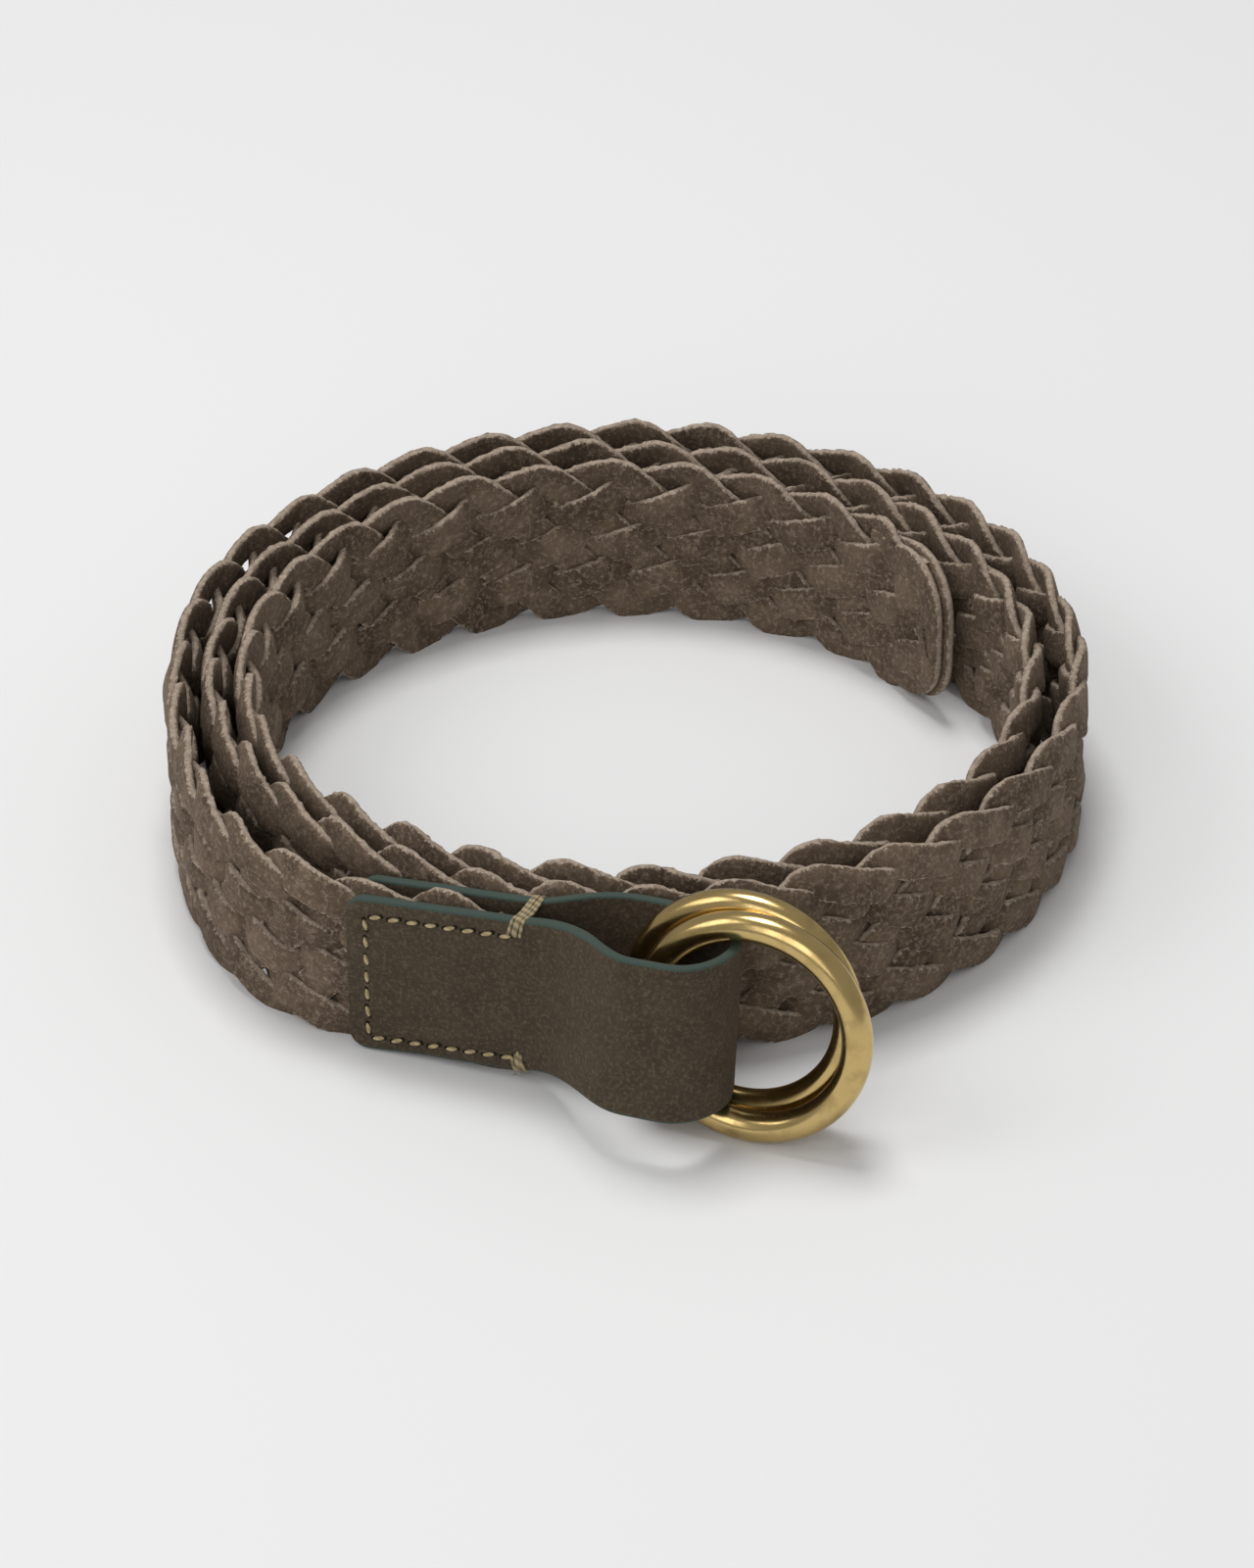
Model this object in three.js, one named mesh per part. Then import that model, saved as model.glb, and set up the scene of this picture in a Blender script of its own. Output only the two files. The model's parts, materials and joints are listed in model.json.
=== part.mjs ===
// A braided suede belt, standing on its edge and wound into a coil of about two and a half turns.
// Its outer end is sewn into a folded suede tab that holds two round brass rings.
// Millimetres, +Z up. The coil stands on z = 0 and the tab and rings are at its -Y side.
import * as THREE from 'three';

// Strap
const STRAP_WIDTH = 30;        // height of the strap as it stands on its edge
const STRAP_THICKNESS = 4;     // two crossing strands
const STRAP_LINK_ANGLE = 24;   // degrees of the coil that one link of the strap spans
const LINK_CLEARANCE = 0.3;    // between the round end of a link and the hollow end of the next
const PRESSED_THICKNESS = 3.4; // the strap's end, pressed flat between the leaves of the tab
const TIP_LENGTH = 4;          // how far the rounded tip runs past its last hinge line

// Coil, as angles about its centre: the strap runs clockwise, seen from above
const COIL_RADIUS = 78.2;      // centreline radius where the coil proper starts
const LAYER_GAP = 2.7;         // mean gap between one turn of the strap and the next
const COIL_DRIFT_X = -1;       // how far each turn's centre sits from the last one's
const COIL_DRIFT_Y = -0.5;
const COIL_START_ANGLE = 174;
const COIL_LINKS = 36;
const LEAD_IN_LINKS = 3;       // links of the bend between the tab and the coil proper
const LEAD_IN_REACH = 0.311;   // reach of the bend's two handles, as a share of its span

// Tab
const TAB_HEADING = -20;       // degrees, the direction from the strap towards the rings
const TAB_TO_COIL = 1.3;       // between the rear leaf and the turn of the strap behind it
const LOOP_TO_COIL = 0.15;     // at least this much between the loop's rear side and that turn
const TAB_START = -19.5;       // along the tab from the point that is nearest the coil's centre
const TAB_SEWN_LENGTH = 31.8;
const TAB_EDGE_INSET = 0.5;    // how much lower the leaves are than the strap is wide
const TAB_RISE = 0.11;         // how much the tab climbs for each millimetre of its length
const LEAF_THICKNESS = 1.8;
const LEAF_GAP = 0.3;          // between a leaf and the pressed strap end
const TAB_CORNER_RADIUS = 3;
const NECK_GAP = 2.4;          // between the sewn leaves and the loop, where the suede flexes
const LOOP_SHOULDER = 11;      // length over which the loop widens to take the rings
const HINGE_INSET = 3.5;       // from the first strap hinge to the tab's end

// Rings
const RING_INSIDE_DIAMETER = 30;
const RING_WIRE_DIAMETER = 5;
const RING_LEAN = 8;           // degrees from upright, leaning towards the coil
const RING_GAP = 0.3;          // between the two rings
const RING_STAGGER = 3.1;      // the rear ring sits this much nearer the strap
const RING_TO_LEAF = 0.35;
const RING_TO_LOOP_EDGE = 1.2; // between the loop's edges and the inside of the rings
const RING_TO_FOLD = 0.4;       // between the fold's corners and the inside of the front ring

// Thread
const THREAD_WIDTH = 0.7;
const THREAD_THICKNESS = 0.5;
const THREAD_CLEARANCE = 0.3;
const SEAM_MARGIN_SIDE = 3.2;  // from the seam to the tab's long edges
const SEAM_MARGIN_END = 2;     // from the seam to the tab's end
const TACK_LENGTH = 2.4;
const TACK_LEG = 3.4;          // how far a bar tack reaches down each face
const TACK_THICKNESS = 0.8;

// Facets
const END_STEPS = 8;
const FOLD_STEPS = 20;
const SHOULDER_STEPS = 6;
const RING_STEPS = 72;
const WIRE_STEPS = 18;

const degrees = THREE.MathUtils.degToRad;

const finishes = {
  suede: { color: 0x554a3f, roughness: 0.95, metalness: 0 },
  tabSuede: { color: 0x4b4237, roughness: 0.95, metalness: 0 },
  brass: { color: 0xbe9655, roughness: 0.28, metalness: 1 },
  thread: { color: 0xa8936a, roughness: 0.7, metalness: 0 },
};

function solid(name, geometry, finish) {
  const mesh = new THREE.Mesh(geometry, new THREE.MeshStandardMaterial(finish));
  mesh.name = name;
  return mesh;
}

function extruded(shape, depth, curveSegments = END_STEPS) {
  return new THREE.ExtrudeGeometry(shape, { depth, bevelEnabled: false, curveSegments });
}

const halfStrap = STRAP_THICKNESS / 2;
const leafInside = PRESSED_THICKNESS / 2 + LEAF_GAP;
const leafOutside = leafInside + LEAF_THICKNESS;

// ---- The strap's line, seen from above ----

const coilPitch = STRAP_THICKNESS + LAYER_GAP;
const heading = degrees(TAB_HEADING);
const alongTab = new THREE.Vector2(Math.cos(heading), Math.sin(heading));
const towardsCoil = new THREE.Vector2(-alongTab.y, alongTab.x);

function coilPoint(angle) {
  const turns = (COIL_START_ANGLE - angle) / 360;
  const radius = COIL_RADIUS - coilPitch * turns;
  return new THREE.Vector2(
    radius * Math.cos(degrees(angle)) + COIL_DRIFT_X * turns,
    radius * Math.sin(degrees(angle)) + COIL_DRIFT_Y * turns,
  );
}

function tabPoint(along) {
  return new THREE.Vector2()
    .addScaledVector(towardsCoil, -tabDistance)
    .addScaledVector(alongTab, along);
}

function leadInCurve() {
  const start = tabPoint(TAB_START - HINGE_INSET);
  const end = coilPoint(COIL_START_ANGLE);
  const arriving = coilPoint(COIL_START_ANGLE - 1).sub(end).normalize();
  const reach = start.distanceTo(end) * LEAD_IN_REACH;
  const startHandle = start.clone().addScaledVector(alongTab, -reach);
  const endHandle = end.clone().addScaledVector(arriving, -reach);
  return new THREE.CubicBezierCurve(start, startHandle, endHandle, end);
}

// The hinge lines between the strap's links, from the tab to the tip.
function hingePoints() {
  const points = leadInCurve().getSpacedPoints(LEAD_IN_LINKS);
  for (let link = 1; link <= COIL_LINKS; link += 1) {
    points.push(coilPoint(COIL_START_ANGLE - link * STRAP_LINK_ANGLE));
  }
  return points;
}

// ---- The strap ----

// A link is hollowed at its start, round the last link's end, and rounded at its own end.
// Both arcs are centred on hinge lines, so the links turn without meeting.
function linkShape(length) {
  const hollow = halfStrap + LINK_CLEARANCE;
  const hollowAngle = Math.asin(halfStrap / hollow);
  const shape = new THREE.Shape();
  shape.moveTo(hollow * Math.cos(hollowAngle), -halfStrap);
  shape.lineTo(length, -halfStrap);
  shape.absarc(length, 0, halfStrap, -Math.PI / 2, Math.PI / 2, false);
  shape.lineTo(hollow * Math.cos(hollowAngle), halfStrap);
  shape.absarc(0, 0, hollow, hollowAngle, -hollowAngle, true);
  return shape;
}

function strapLink(number, from, to, extra) {
  const run = to.clone().sub(from);
  const name = `braid_link_${String(number).padStart(2, '0')}`;
  const link = solid(name, extruded(linkShape(run.length() + extra), STRAP_WIDTH), finishes.suede);
  link.position.set(from.x, from.y, 0);
  link.rotation.z = run.angle();
  return link;
}

function strapLinks() {
  const points = hingePoints();
  const links = new THREE.Group();
  for (let index = 0; index + 1 < points.length; index += 1) {
    const isTip = index + 2 === points.length;
    links.add(strapLink(index + 1, points[index], points[index + 1], isTip ? TIP_LENGTH : 0));
  }
  return links;
}

// ---- The tab: x runs along it towards the rings, y towards the coil's centre ----

const tabEnd = TAB_START + TAB_SEWN_LENGTH;
const ringSpacing = RING_WIRE_DIAMETER + RING_GAP;
const ringRadius = (RING_INSIDE_DIAMETER + RING_WIRE_DIAMETER) / 2;
const wireRadius = RING_WIRE_DIAMETER / 2;
const ringHeight = ringRadius * Math.cos(degrees(RING_LEAN)) + wireRadius;
const loopInside = ringSpacing / 2 + wireRadius + RING_TO_LEAF;
const loopOutside = loopInside + LEAF_THICKNESS;
const loopStart = tabEnd + NECK_GAP;
const rearWireStart = loopStart + LOOP_SHOULDER;
const frontRingCentre = rearWireStart + RING_STAGGER + ringRadius + wireRadius;
const rearRingCentre = frontRingCentre - RING_STAGGER;

// The fold crosses the front ring's plane where its corners just stay inside the ring.
const cornerHeight = RING_INSIDE_DIAMETER / 2 - RING_TO_LOOP_EDGE;
const cornerReach = RING_INSIDE_DIAMETER / 2 - RING_TO_FOLD;
const foldToCentre = Math.sqrt(cornerReach ** 2 - cornerHeight ** 2);
const foldBulge = Math.sqrt(loopInside ** 2 - (ringSpacing / 2) ** 2);
const foldCentre = frontRingCentre - foldToCentre - foldBulge;

const leafHeight = STRAP_WIDTH - TAB_EDGE_INSET;
const loopHeight = RING_INSIDE_DIAMETER - 2 * RING_TO_LOOP_EDGE;

// The tab's middle plane lies just outside the turn of the strap that passes behind it. The loop
// is wider than the leaves and leans inwards, but the coil falls away from the plane behind it.
const turnBehindTab = -coilPoint(TAB_HEADING - 90).dot(towardsCoil);
const fallBehindLoop = turnBehindTab - Math.sqrt(turnBehindTab ** 2 - rearWireStart ** 2);
const loopReach = loopOutside * Math.cos(degrees(RING_LEAN))
  + loopHeight / 2 * Math.sin(degrees(RING_LEAN)) - fallBehindLoop;
const tabDistance = turnBehindTab + halfStrap
  + Math.max(TAB_TO_COIL + leafOutside, LOOP_TO_COIL + loopReach);

// The leaves climb towards the loop and narrow a little as they do.
const leafBottom = (along) => TAB_RISE * (along - TAB_START);
const leafTop = (along) => leafHeight + leafBottom(along) * (loopHeight / leafHeight);

// The strap's end: full thickness at the first hinge, pressed flat where the leaves hold it.
function braidEnd() {
  const hinge = TAB_START - HINGE_INSET;
  const shoulder = TAB_START - 2 * LEAF_GAP;
  const halfPressed = PRESSED_THICKNESS / 2;
  const end = tabEnd - 2 * TACK_LENGTH;
  const shape = new THREE.Shape();
  shape.moveTo(hinge, -halfStrap);
  shape.lineTo(shoulder, -halfStrap);
  shape.lineTo(shoulder + LEAF_GAP, -halfPressed);
  shape.lineTo(end, -halfPressed);
  shape.lineTo(end, halfPressed);
  shape.lineTo(shoulder + LEAF_GAP, halfPressed);
  shape.lineTo(shoulder, halfStrap);
  shape.lineTo(hinge, halfStrap);
  shape.absarc(hinge, 0, halfStrap, Math.PI / 2, -Math.PI / 2, false);
  return solid('braid_end', extruded(shape, STRAP_WIDTH), finishes.suede);
}

// Draws a standing shape, x along the tab and y up, and lays its thickness along the tab's y.
function standing(shape, thickness, y) {
  const geometry = extruded(shape, thickness);
  geometry.rotateX(Math.PI / 2);
  geometry.translate(0, y + thickness, 0);
  return geometry;
}

function leafOutline() {
  const r = TAB_CORNER_RADIUS;
  const shape = new THREE.Shape();
  shape.moveTo(TAB_START + r, leafBottom(TAB_START + r));
  shape.lineTo(tabEnd, leafBottom(tabEnd));
  shape.lineTo(tabEnd, leafTop(tabEnd));
  shape.lineTo(TAB_START + r, leafTop(TAB_START + r));
  shape.quadraticCurveTo(TAB_START, leafTop(TAB_START), TAB_START, leafTop(TAB_START) - r);
  shape.lineTo(TAB_START, leafBottom(TAB_START) + r);
  shape.quadraticCurveTo(TAB_START, leafBottom(TAB_START), TAB_START + r, leafBottom(TAB_START + r));
  return shape;
}

function leaves() {
  const front = standing(leafOutline(), LEAF_THICKNESS, -leafOutside);
  const back = standing(leafOutline(), LEAF_THICKNESS, leafInside);
  return [
    solid('tab_leaf_front', front, finishes.tabSuede),
    solid('tab_leaf_back', back, finishes.tabSuede),
  ];
}

// Half the width of the loop at a point along its shoulder, which widens in a smooth S.
function shoulderWidth(share, narrow, wide) {
  return narrow + (wide - narrow) * THREE.MathUtils.smoothstep(share, 0, 1);
}

// One side of the loop's plan, from its start round half of the fold.
function loopSide(narrow, wide) {
  const points = [];
  for (let step = 0; step <= SHOULDER_STEPS; step += 1) {
    const share = step / SHOULDER_STEPS;
    const x = loopStart + share * LOOP_SHOULDER;
    points.push(new THREE.Vector2(x, shoulderWidth(share, narrow, wide)));
  }
  for (let step = 0; step <= FOLD_STEPS / 2; step += 1) {
    const turn = Math.PI / 2 * (1 - step / (FOLD_STEPS / 2));
    points.push(new THREE.Vector2(foldCentre + wide * Math.cos(turn), wide * Math.sin(turn)));
  }
  return points;
}

function mirrored(points) {
  return points.slice(0, -1).reverse().map((point) => new THREE.Vector2(point.x, -point.y));
}

function tabLoop() {
  const outer = loopSide(leafOutside, loopOutside);
  const inner = loopSide(leafInside, loopInside);
  const outline = [...outer, ...mirrored(outer)];
  const inline = [...inner, ...mirrored(inner)].reverse();
  const geometry = extruded(new THREE.Shape([...outline, ...inline]), loopHeight);
  geometry.translate(0, 0, -loopHeight / 2);
  return solid('tab_loop', geometry, finishes.tabSuede);
}

// Each ring is shifted in its own leaning plane so that both of them reach down to z = 0.
function ring(name, x, y) {
  const geometry = new THREE.TorusGeometry(ringRadius, wireRadius, WIRE_STEPS, RING_STEPS);
  const mesh = solid(name, geometry, finishes.brass);
  mesh.rotation.x = Math.PI / 2;
  mesh.position.set(x, y, y * Math.tan(degrees(RING_LEAN)));
  return mesh;
}

// The loop and the rings lean together towards the coil, about the rings' centre height.
function loopAndRings() {
  const group = new THREE.Group();
  group.position.z = ringHeight;
  group.rotation.x = -degrees(RING_LEAN);
  group.add(tabLoop());
  group.add(ring('ring_front', frontRingCentre, -ringSpacing / 2));
  group.add(ring('ring_rear', rearRingCentre, ringSpacing / 2));
  return group;
}

// ---- The thread ----

// The seam runs along the two long edges and across the end, open towards the rings.
function seamShape() {
  const left = TAB_START + SEAM_MARGIN_END;
  const right = tabEnd - 2 * TACK_LENGTH;
  const low = (along) => leafBottom(along) + SEAM_MARGIN_SIDE;
  const high = (along) => leafTop(along) - SEAM_MARGIN_SIDE;
  const shape = new THREE.Shape();
  shape.moveTo(left, low(left));
  shape.lineTo(right, low(right));
  shape.lineTo(right, low(right) + THREAD_WIDTH);
  shape.lineTo(left + THREAD_WIDTH, low(left) + THREAD_WIDTH);
  shape.lineTo(left + THREAD_WIDTH, high(left) - THREAD_WIDTH);
  shape.lineTo(right, high(right) - THREAD_WIDTH);
  shape.lineTo(right, high(right));
  shape.lineTo(left, high(left));
  return shape;
}

function seams() {
  const front = -leafOutside - THREAD_CLEARANCE - THREAD_THICKNESS;
  const back = leafOutside + THREAD_CLEARANCE;
  return [
    solid('seam_thread_front', standing(seamShape(), THREAD_THICKNESS, front), finishes.thread),
    solid('seam_thread_back', standing(seamShape(), THREAD_THICKNESS, back), finishes.thread),
  ];
}

// A bar tack wraps over both leaves' edges: side is 1 at the top edge and -1 at the bottom.
function barTack(name, side) {
  const along = tabEnd - TACK_LENGTH;
  const reach = leafOutside + THREAD_CLEARANCE;
  const wide = reach + TACK_THICKNESS;
  const shape = new THREE.Shape();
  shape.moveTo(-wide, -TACK_LEG);
  shape.lineTo(-reach, -TACK_LEG);
  shape.lineTo(-reach, THREAD_CLEARANCE);
  shape.lineTo(reach, THREAD_CLEARANCE);
  shape.lineTo(reach, -TACK_LEG);
  shape.lineTo(wide, -TACK_LEG);
  shape.lineTo(wide, THREAD_CLEARANCE + TACK_THICKNESS);
  shape.lineTo(-wide, THREAD_CLEARANCE + TACK_THICKNESS);
  const geometry = extruded(shape, TACK_LENGTH);
  geometry.translate(0, 0, -TACK_LENGTH / 2);
  geometry.applyMatrix4(new THREE.Matrix4().makeBasis(
    new THREE.Vector3(0, side, 0),
    new THREE.Vector3(0, 0, side),
    new THREE.Vector3(1, 0, 0),
  ));
  const mesh = solid(name, geometry, finishes.thread);
  mesh.position.set(along, 0, side > 0 ? leafTop(tabEnd) : leafBottom(along - TACK_LENGTH));
  return mesh;
}

function tab() {
  const group = new THREE.Group();
  const foot = tabPoint(0);
  group.position.set(foot.x, foot.y, 0);
  group.rotation.z = heading;
  group.add(braidEnd(), ...leaves(), loopAndRings(), ...seams());
  group.add(barTack('bar_tack_top', 1), barTack('bar_tack_bottom', -1));
  return group;
}

// ---- The belt, moved so that the middle of its base is at the origin ----

const belt = new THREE.Group();
belt.add(strapLinks(), tab());
belt.updateMatrixWorld(true);
const box = new THREE.Box3().setFromObject(belt, true);
belt.position.set(-(box.min.x + box.max.x) / 2, -(box.min.y + box.max.y) / 2, -box.min.z);

export default belt;
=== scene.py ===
"""The looks of a braided suede belt, coiled on its edge, with a sewn tab and two brass rings."""

import json
import logging
import math
from dataclasses import dataclass, field
from enum import Enum
from typing import Any, Dict, List, Sequence, Tuple, Union

import bmesh
import bpy
import numpy as np
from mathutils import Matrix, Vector

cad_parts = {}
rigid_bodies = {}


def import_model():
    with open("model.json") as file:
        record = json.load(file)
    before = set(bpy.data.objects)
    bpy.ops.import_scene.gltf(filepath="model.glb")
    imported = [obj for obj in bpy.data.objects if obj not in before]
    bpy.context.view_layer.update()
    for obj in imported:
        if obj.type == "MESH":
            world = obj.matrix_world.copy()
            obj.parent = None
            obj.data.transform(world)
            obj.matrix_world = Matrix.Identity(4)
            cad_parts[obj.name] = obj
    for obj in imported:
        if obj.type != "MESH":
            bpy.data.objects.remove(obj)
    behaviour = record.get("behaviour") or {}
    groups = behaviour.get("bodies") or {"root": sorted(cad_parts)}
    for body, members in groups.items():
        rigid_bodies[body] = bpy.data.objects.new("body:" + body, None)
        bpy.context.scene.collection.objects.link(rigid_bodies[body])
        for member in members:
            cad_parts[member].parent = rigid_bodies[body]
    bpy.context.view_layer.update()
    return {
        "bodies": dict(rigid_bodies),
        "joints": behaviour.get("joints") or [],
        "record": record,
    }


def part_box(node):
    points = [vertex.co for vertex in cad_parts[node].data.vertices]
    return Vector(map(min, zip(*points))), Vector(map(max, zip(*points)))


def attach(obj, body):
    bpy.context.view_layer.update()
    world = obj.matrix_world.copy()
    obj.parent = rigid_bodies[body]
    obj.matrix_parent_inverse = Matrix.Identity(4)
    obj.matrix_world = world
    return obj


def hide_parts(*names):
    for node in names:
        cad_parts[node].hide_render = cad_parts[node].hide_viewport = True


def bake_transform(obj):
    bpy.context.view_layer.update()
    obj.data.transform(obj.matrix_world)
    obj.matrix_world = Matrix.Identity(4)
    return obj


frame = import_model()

log = logging.getLogger("belt")

MM = 0.001
SHARP_ANGLE = 55.0
MID_HEIGHT = 15.0
Colour = Tuple[float, float, float, float]
Socket = bpy.types.NodeSocket


class Slot(Enum):
    """The record's material slots."""

    BRAID = "suede_braid"
    TAB = "suede_tab"
    BRASS = "brass"
    THREAD = "thread"


class Mask(Enum):
    """Point attributes that the materials read."""

    RIM = "rim"
    TONE = "tone"
    PAINT = "paint"


# ---- Sizes, in millimetres, as the CAD part has them ----


@dataclass(frozen=True)
class StrapSizes:
    """The strap and the coil that it is wound into."""

    width: float = 30.0
    thickness: float = 4.0
    pressed: float = 3.4
    coil_radius: float = 78.2
    layer_gap: float = 2.7
    drift: Tuple[float, float] = (-1.0, -0.5)
    start_angle: float = 174.0
    link_angle: float = 24.0
    coil_links: int = 36
    lead_in_reach: float = 0.311
    tip_length: float = 4.0


@dataclass(frozen=True)
class TabSizes:
    """The folded tab. It climbs a little less than its CAD leaves, as the suede sags."""

    heading: float = -20.0
    to_coil: float = 1.3
    start: float = -19.5
    sewn_length: float = 31.8
    edge_inset: float = 0.5
    rise: float = 0.08
    leaf: float = 1.8
    leaf_gap: float = 0.3
    corner: float = 3.0
    neck: float = 2.4
    shoulder: float = 11.0
    hinge_inset: float = 3.5
    tack: float = 2.4


@dataclass(frozen=True)
class RingSizes:
    """The two rings and how they lie in the loop."""

    inside: float = 30.0
    wire: float = 5.0
    lean: float = 8.0
    stagger: float = 3.1
    to_loop_edge: float = 1.2
    to_fold: float = 2.3


def smooth(value: Any, low: float = 0.0, high: float = 1.0) -> Any:
    """Eases from 0 at low to 1 at high.

    Args:
        value: A number or an array.
        low: Where the rise starts.
        high: Where it ends.

    Returns:
        The eased share, of the same shape as value.
    """
    share = np.clip((np.asarray(value, float) - low) / (high - low), 0.0, 1.0)
    return share * share * (3.0 - 2.0 * share)


def unit(vectors: np.ndarray) -> np.ndarray:
    """Scales vectors to length one along their last axis."""
    return vectors / np.linalg.norm(vectors, axis=-1, keepdims=True)


def drifting_noise(rng: np.random.Generator, count: int, every: int, reach: float) -> np.ndarray:
    """Makes a smooth random run of numbers.

    Args:
        rng: The seeded source.
        count: How many numbers.
        every: How many samples lie between two fresh random values.
        reach: The largest size of a value.

    Returns:
        The run, count long.
    """
    knots = rng.uniform(-reach, reach, count // every + 4)
    at = np.arange(count) / every
    low = at.astype(int)
    share = smooth(at - low)
    return knots[low] * (1.0 - share) + knots[low + 1] * share


def square_to(along: np.ndarray, facing: np.ndarray) -> np.ndarray:
    """Turns directions square to a line, as near to where they face as that allows."""
    return unit(facing - along * np.sum(facing * along, 1, keepdims=True))


# ---- Meshes ----


def link_object(name: str, data: Any) -> bpy.types.Object:
    """Puts a mesh, lamp or camera into the scene as an object."""
    made = bpy.data.objects.new(name, data)
    bpy.context.scene.collection.objects.link(made)
    return made


def shade_smoothly(mesh: bpy.types.Mesh) -> None:
    """Shades a mesh smooth, but hard at its sharp edges."""
    mesh.shade_smooth()
    mesh.set_sharp_from_angle(angle=math.radians(SHARP_ANGLE))


def set_values(mesh: bpy.types.Mesh, label: str, values: np.ndarray) -> None:
    """Stores one number for each point of a mesh."""
    layer = mesh.attributes.new(label, "FLOAT", "POINT")
    layer.data.foreach_set("value", np.asarray(values, np.float32).ravel())


def mesh_object(
    name: str,
    points: np.ndarray,
    faces: Sequence[Sequence[int]],
    masks: Dict[Mask, np.ndarray],
    material: bpy.types.Material,
) -> bpy.types.Object:
    """Makes a smooth-shaded mesh object with its place in its mesh.

    Args:
        name: The object's name.
        points: The vertices in millimetres, in the row frame.
        faces: Each face's vertex numbers.
        masks: A value for each vertex, by mask.
        material: Its one material.

    Returns:
        The new object.
    """
    mesh = bpy.data.meshes.new(name)
    mesh.from_pydata((np.asarray(points).reshape(-1, 3) * MM).tolist(), [], faces)
    shade_smoothly(mesh)
    for mask, values in masks.items():
        set_values(mesh, mask.value, values)
    mesh.materials.append(material)
    return link_object(name, mesh)


def tube_faces(rows: int, sides: int, first: int, flip: bool) -> List[List[int]]:
    """Lists the faces of a closed tube whose rings of vertices follow one another.

    Args:
        rows: How many rings.
        sides: Vertices in each ring.
        first: Number of the first vertex.
        flip: Turns the faces over.

    Returns:
        The wall's quads and the two end faces.
    """
    across = np.arange(sides)
    beside = (across + 1) % sides
    base = first + np.arange(rows - 1)[:, None] * sides
    above = base + sides
    quads = np.stack([base + across, base + beside, above + beside, above + across], -1)
    last = first + (rows - 1) * sides
    faces = quads.reshape(-1, 4).tolist()
    faces.append((first + across[::-1]).tolist())
    faces.append((last + across).tolist())
    return [face[::-1] for face in faces] if flip else faces


def turns_inside_out(rings: np.ndarray) -> bool:
    """Says whether tube_faces would turn a tube's wall inwards.

    Args:
        rings: The tube's vertices, rows x sides x 3.

    Returns:
        True if the faces have to be flipped.
    """
    middle = len(rings) // 2
    a, b, c = rings[middle, 0], rings[middle, 1], rings[middle + 1, 0]
    outward = a - rings[middle].mean(0)
    return float(np.dot(np.cross(b - a, c - a), outward)) < 0.0


# ---- Node trees ----


def set_input(tree: bpy.types.NodeTree, socket: Socket, value: Any) -> None:
    """Fills an input with a value, or links it if the value is a socket.

    Args:
        tree: The tree that the input is in.
        socket: The input.
        value: A plain value or another node's output.
    """
    if isinstance(value, bpy.types.NodeSocket):
        tree.links.new(value, socket)
    else:
        socket.default_value = value


def add_node(
    tree: bpy.types.NodeTree,
    kind: str,
    inputs: Dict[Union[int, str], Any],
    **settings: Any,
) -> bpy.types.Node:
    """Adds a node and fills or links its inputs.

    Args:
        tree: The tree to add to.
        kind: The node's type name.
        inputs: For each input, by name or number, a value or a socket to link from.
        settings: The node's own properties.

    Returns:
        The new node.
    """
    node = tree.nodes.new(kind)
    for key, value in settings.items():
        setattr(node, key, value)
    for key, value in inputs.items():
        set_input(tree, node.inputs[key], value)
    return node


def math_node(
    tree: bpy.types.NodeTree,
    operation: str,
    *values: Any,
    clamp: bool = False,
) -> Socket:
    """Adds a Math node on numbers or sockets and returns its result."""
    inputs = dict(enumerate(values))
    return add_node(tree, "ShaderNodeMath", inputs, operation=operation, use_clamp=clamp).outputs[0]


def times(tree: bpy.types.NodeTree, first: Any, second: Any) -> Socket:
    """Multiplies two numbers or sockets."""
    return math_node(tree, "MULTIPLY", first, second)


def times_plus(tree: bpy.types.NodeTree, first: Any, second: Any, third: Any) -> Socket:
    """Multiplies two numbers or sockets and adds a third."""
    return math_node(tree, "MULTIPLY_ADD", first, second, third)


def remap(tree: bpy.types.NodeTree, value: Socket, low: float, high: float) -> Socket:
    """Stretches a socket's values so that low gives 0 and high gives 1, smoothly and clamped."""
    inputs = {"Value": value, "From Min": low, "From Max": high}
    node = add_node(tree, "ShaderNodeMapRange", inputs, interpolation_type="SMOOTHSTEP")
    return node.outputs["Result"]


def mix_colour(tree: bpy.types.NodeTree, factor: Any, first: Any, second: Any) -> Socket:
    """Mixes two colours by a factor and returns the result."""
    colours = {0: factor, 6: first, 7: second}
    return add_node(tree, "ShaderNodeMix", colours, data_type="RGBA").outputs[2]


def noise(
    tree: bpy.types.NodeTree,
    vector: Socket,
    size: Any,
    detail: float = 3.0,
    rough: float = 0.55,
) -> Socket:
    """Adds a noise of a given grain.

    Args:
        tree: The tree to add to.
        vector: Where the noise is read, in metres.
        size: The scale, one over the grain in metres, as a number or a socket.
        detail: Octaves.
        rough: How much the finer octaves count.

    Returns:
        The noise's value, about 0 to 1.
    """
    inputs = {"Vector": vector, "Scale": size, "Detail": detail, "Roughness": rough}
    return add_node(tree, "ShaderNodeTexNoise", inputs).outputs[0]


def new_group(
    name: str,
    kind: str,
    inputs: Dict[str, str],
    outputs: Dict[str, str],
) -> Tuple[bpy.types.NodeTree, bpy.types.Node, bpy.types.Node]:
    """Makes an empty node group.

    Args:
        name: The group's name.
        kind: ShaderNodeTree or GeometryNodeTree.
        inputs: Socket type by input name.
        outputs: Socket type by output name.

    Returns:
        The tree, its input node and its output node.
    """
    tree = bpy.data.node_groups.new(name, kind)
    for sockets, side in ((inputs, "INPUT"), (outputs, "OUTPUT")):
        for label, socket in sockets.items():
            tree.interface.new_socket(label, in_out=side, socket_type="NodeSocket" + socket)
    return tree, tree.nodes.new("NodeGroupInput"), tree.nodes.new("NodeGroupOutput")


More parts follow.
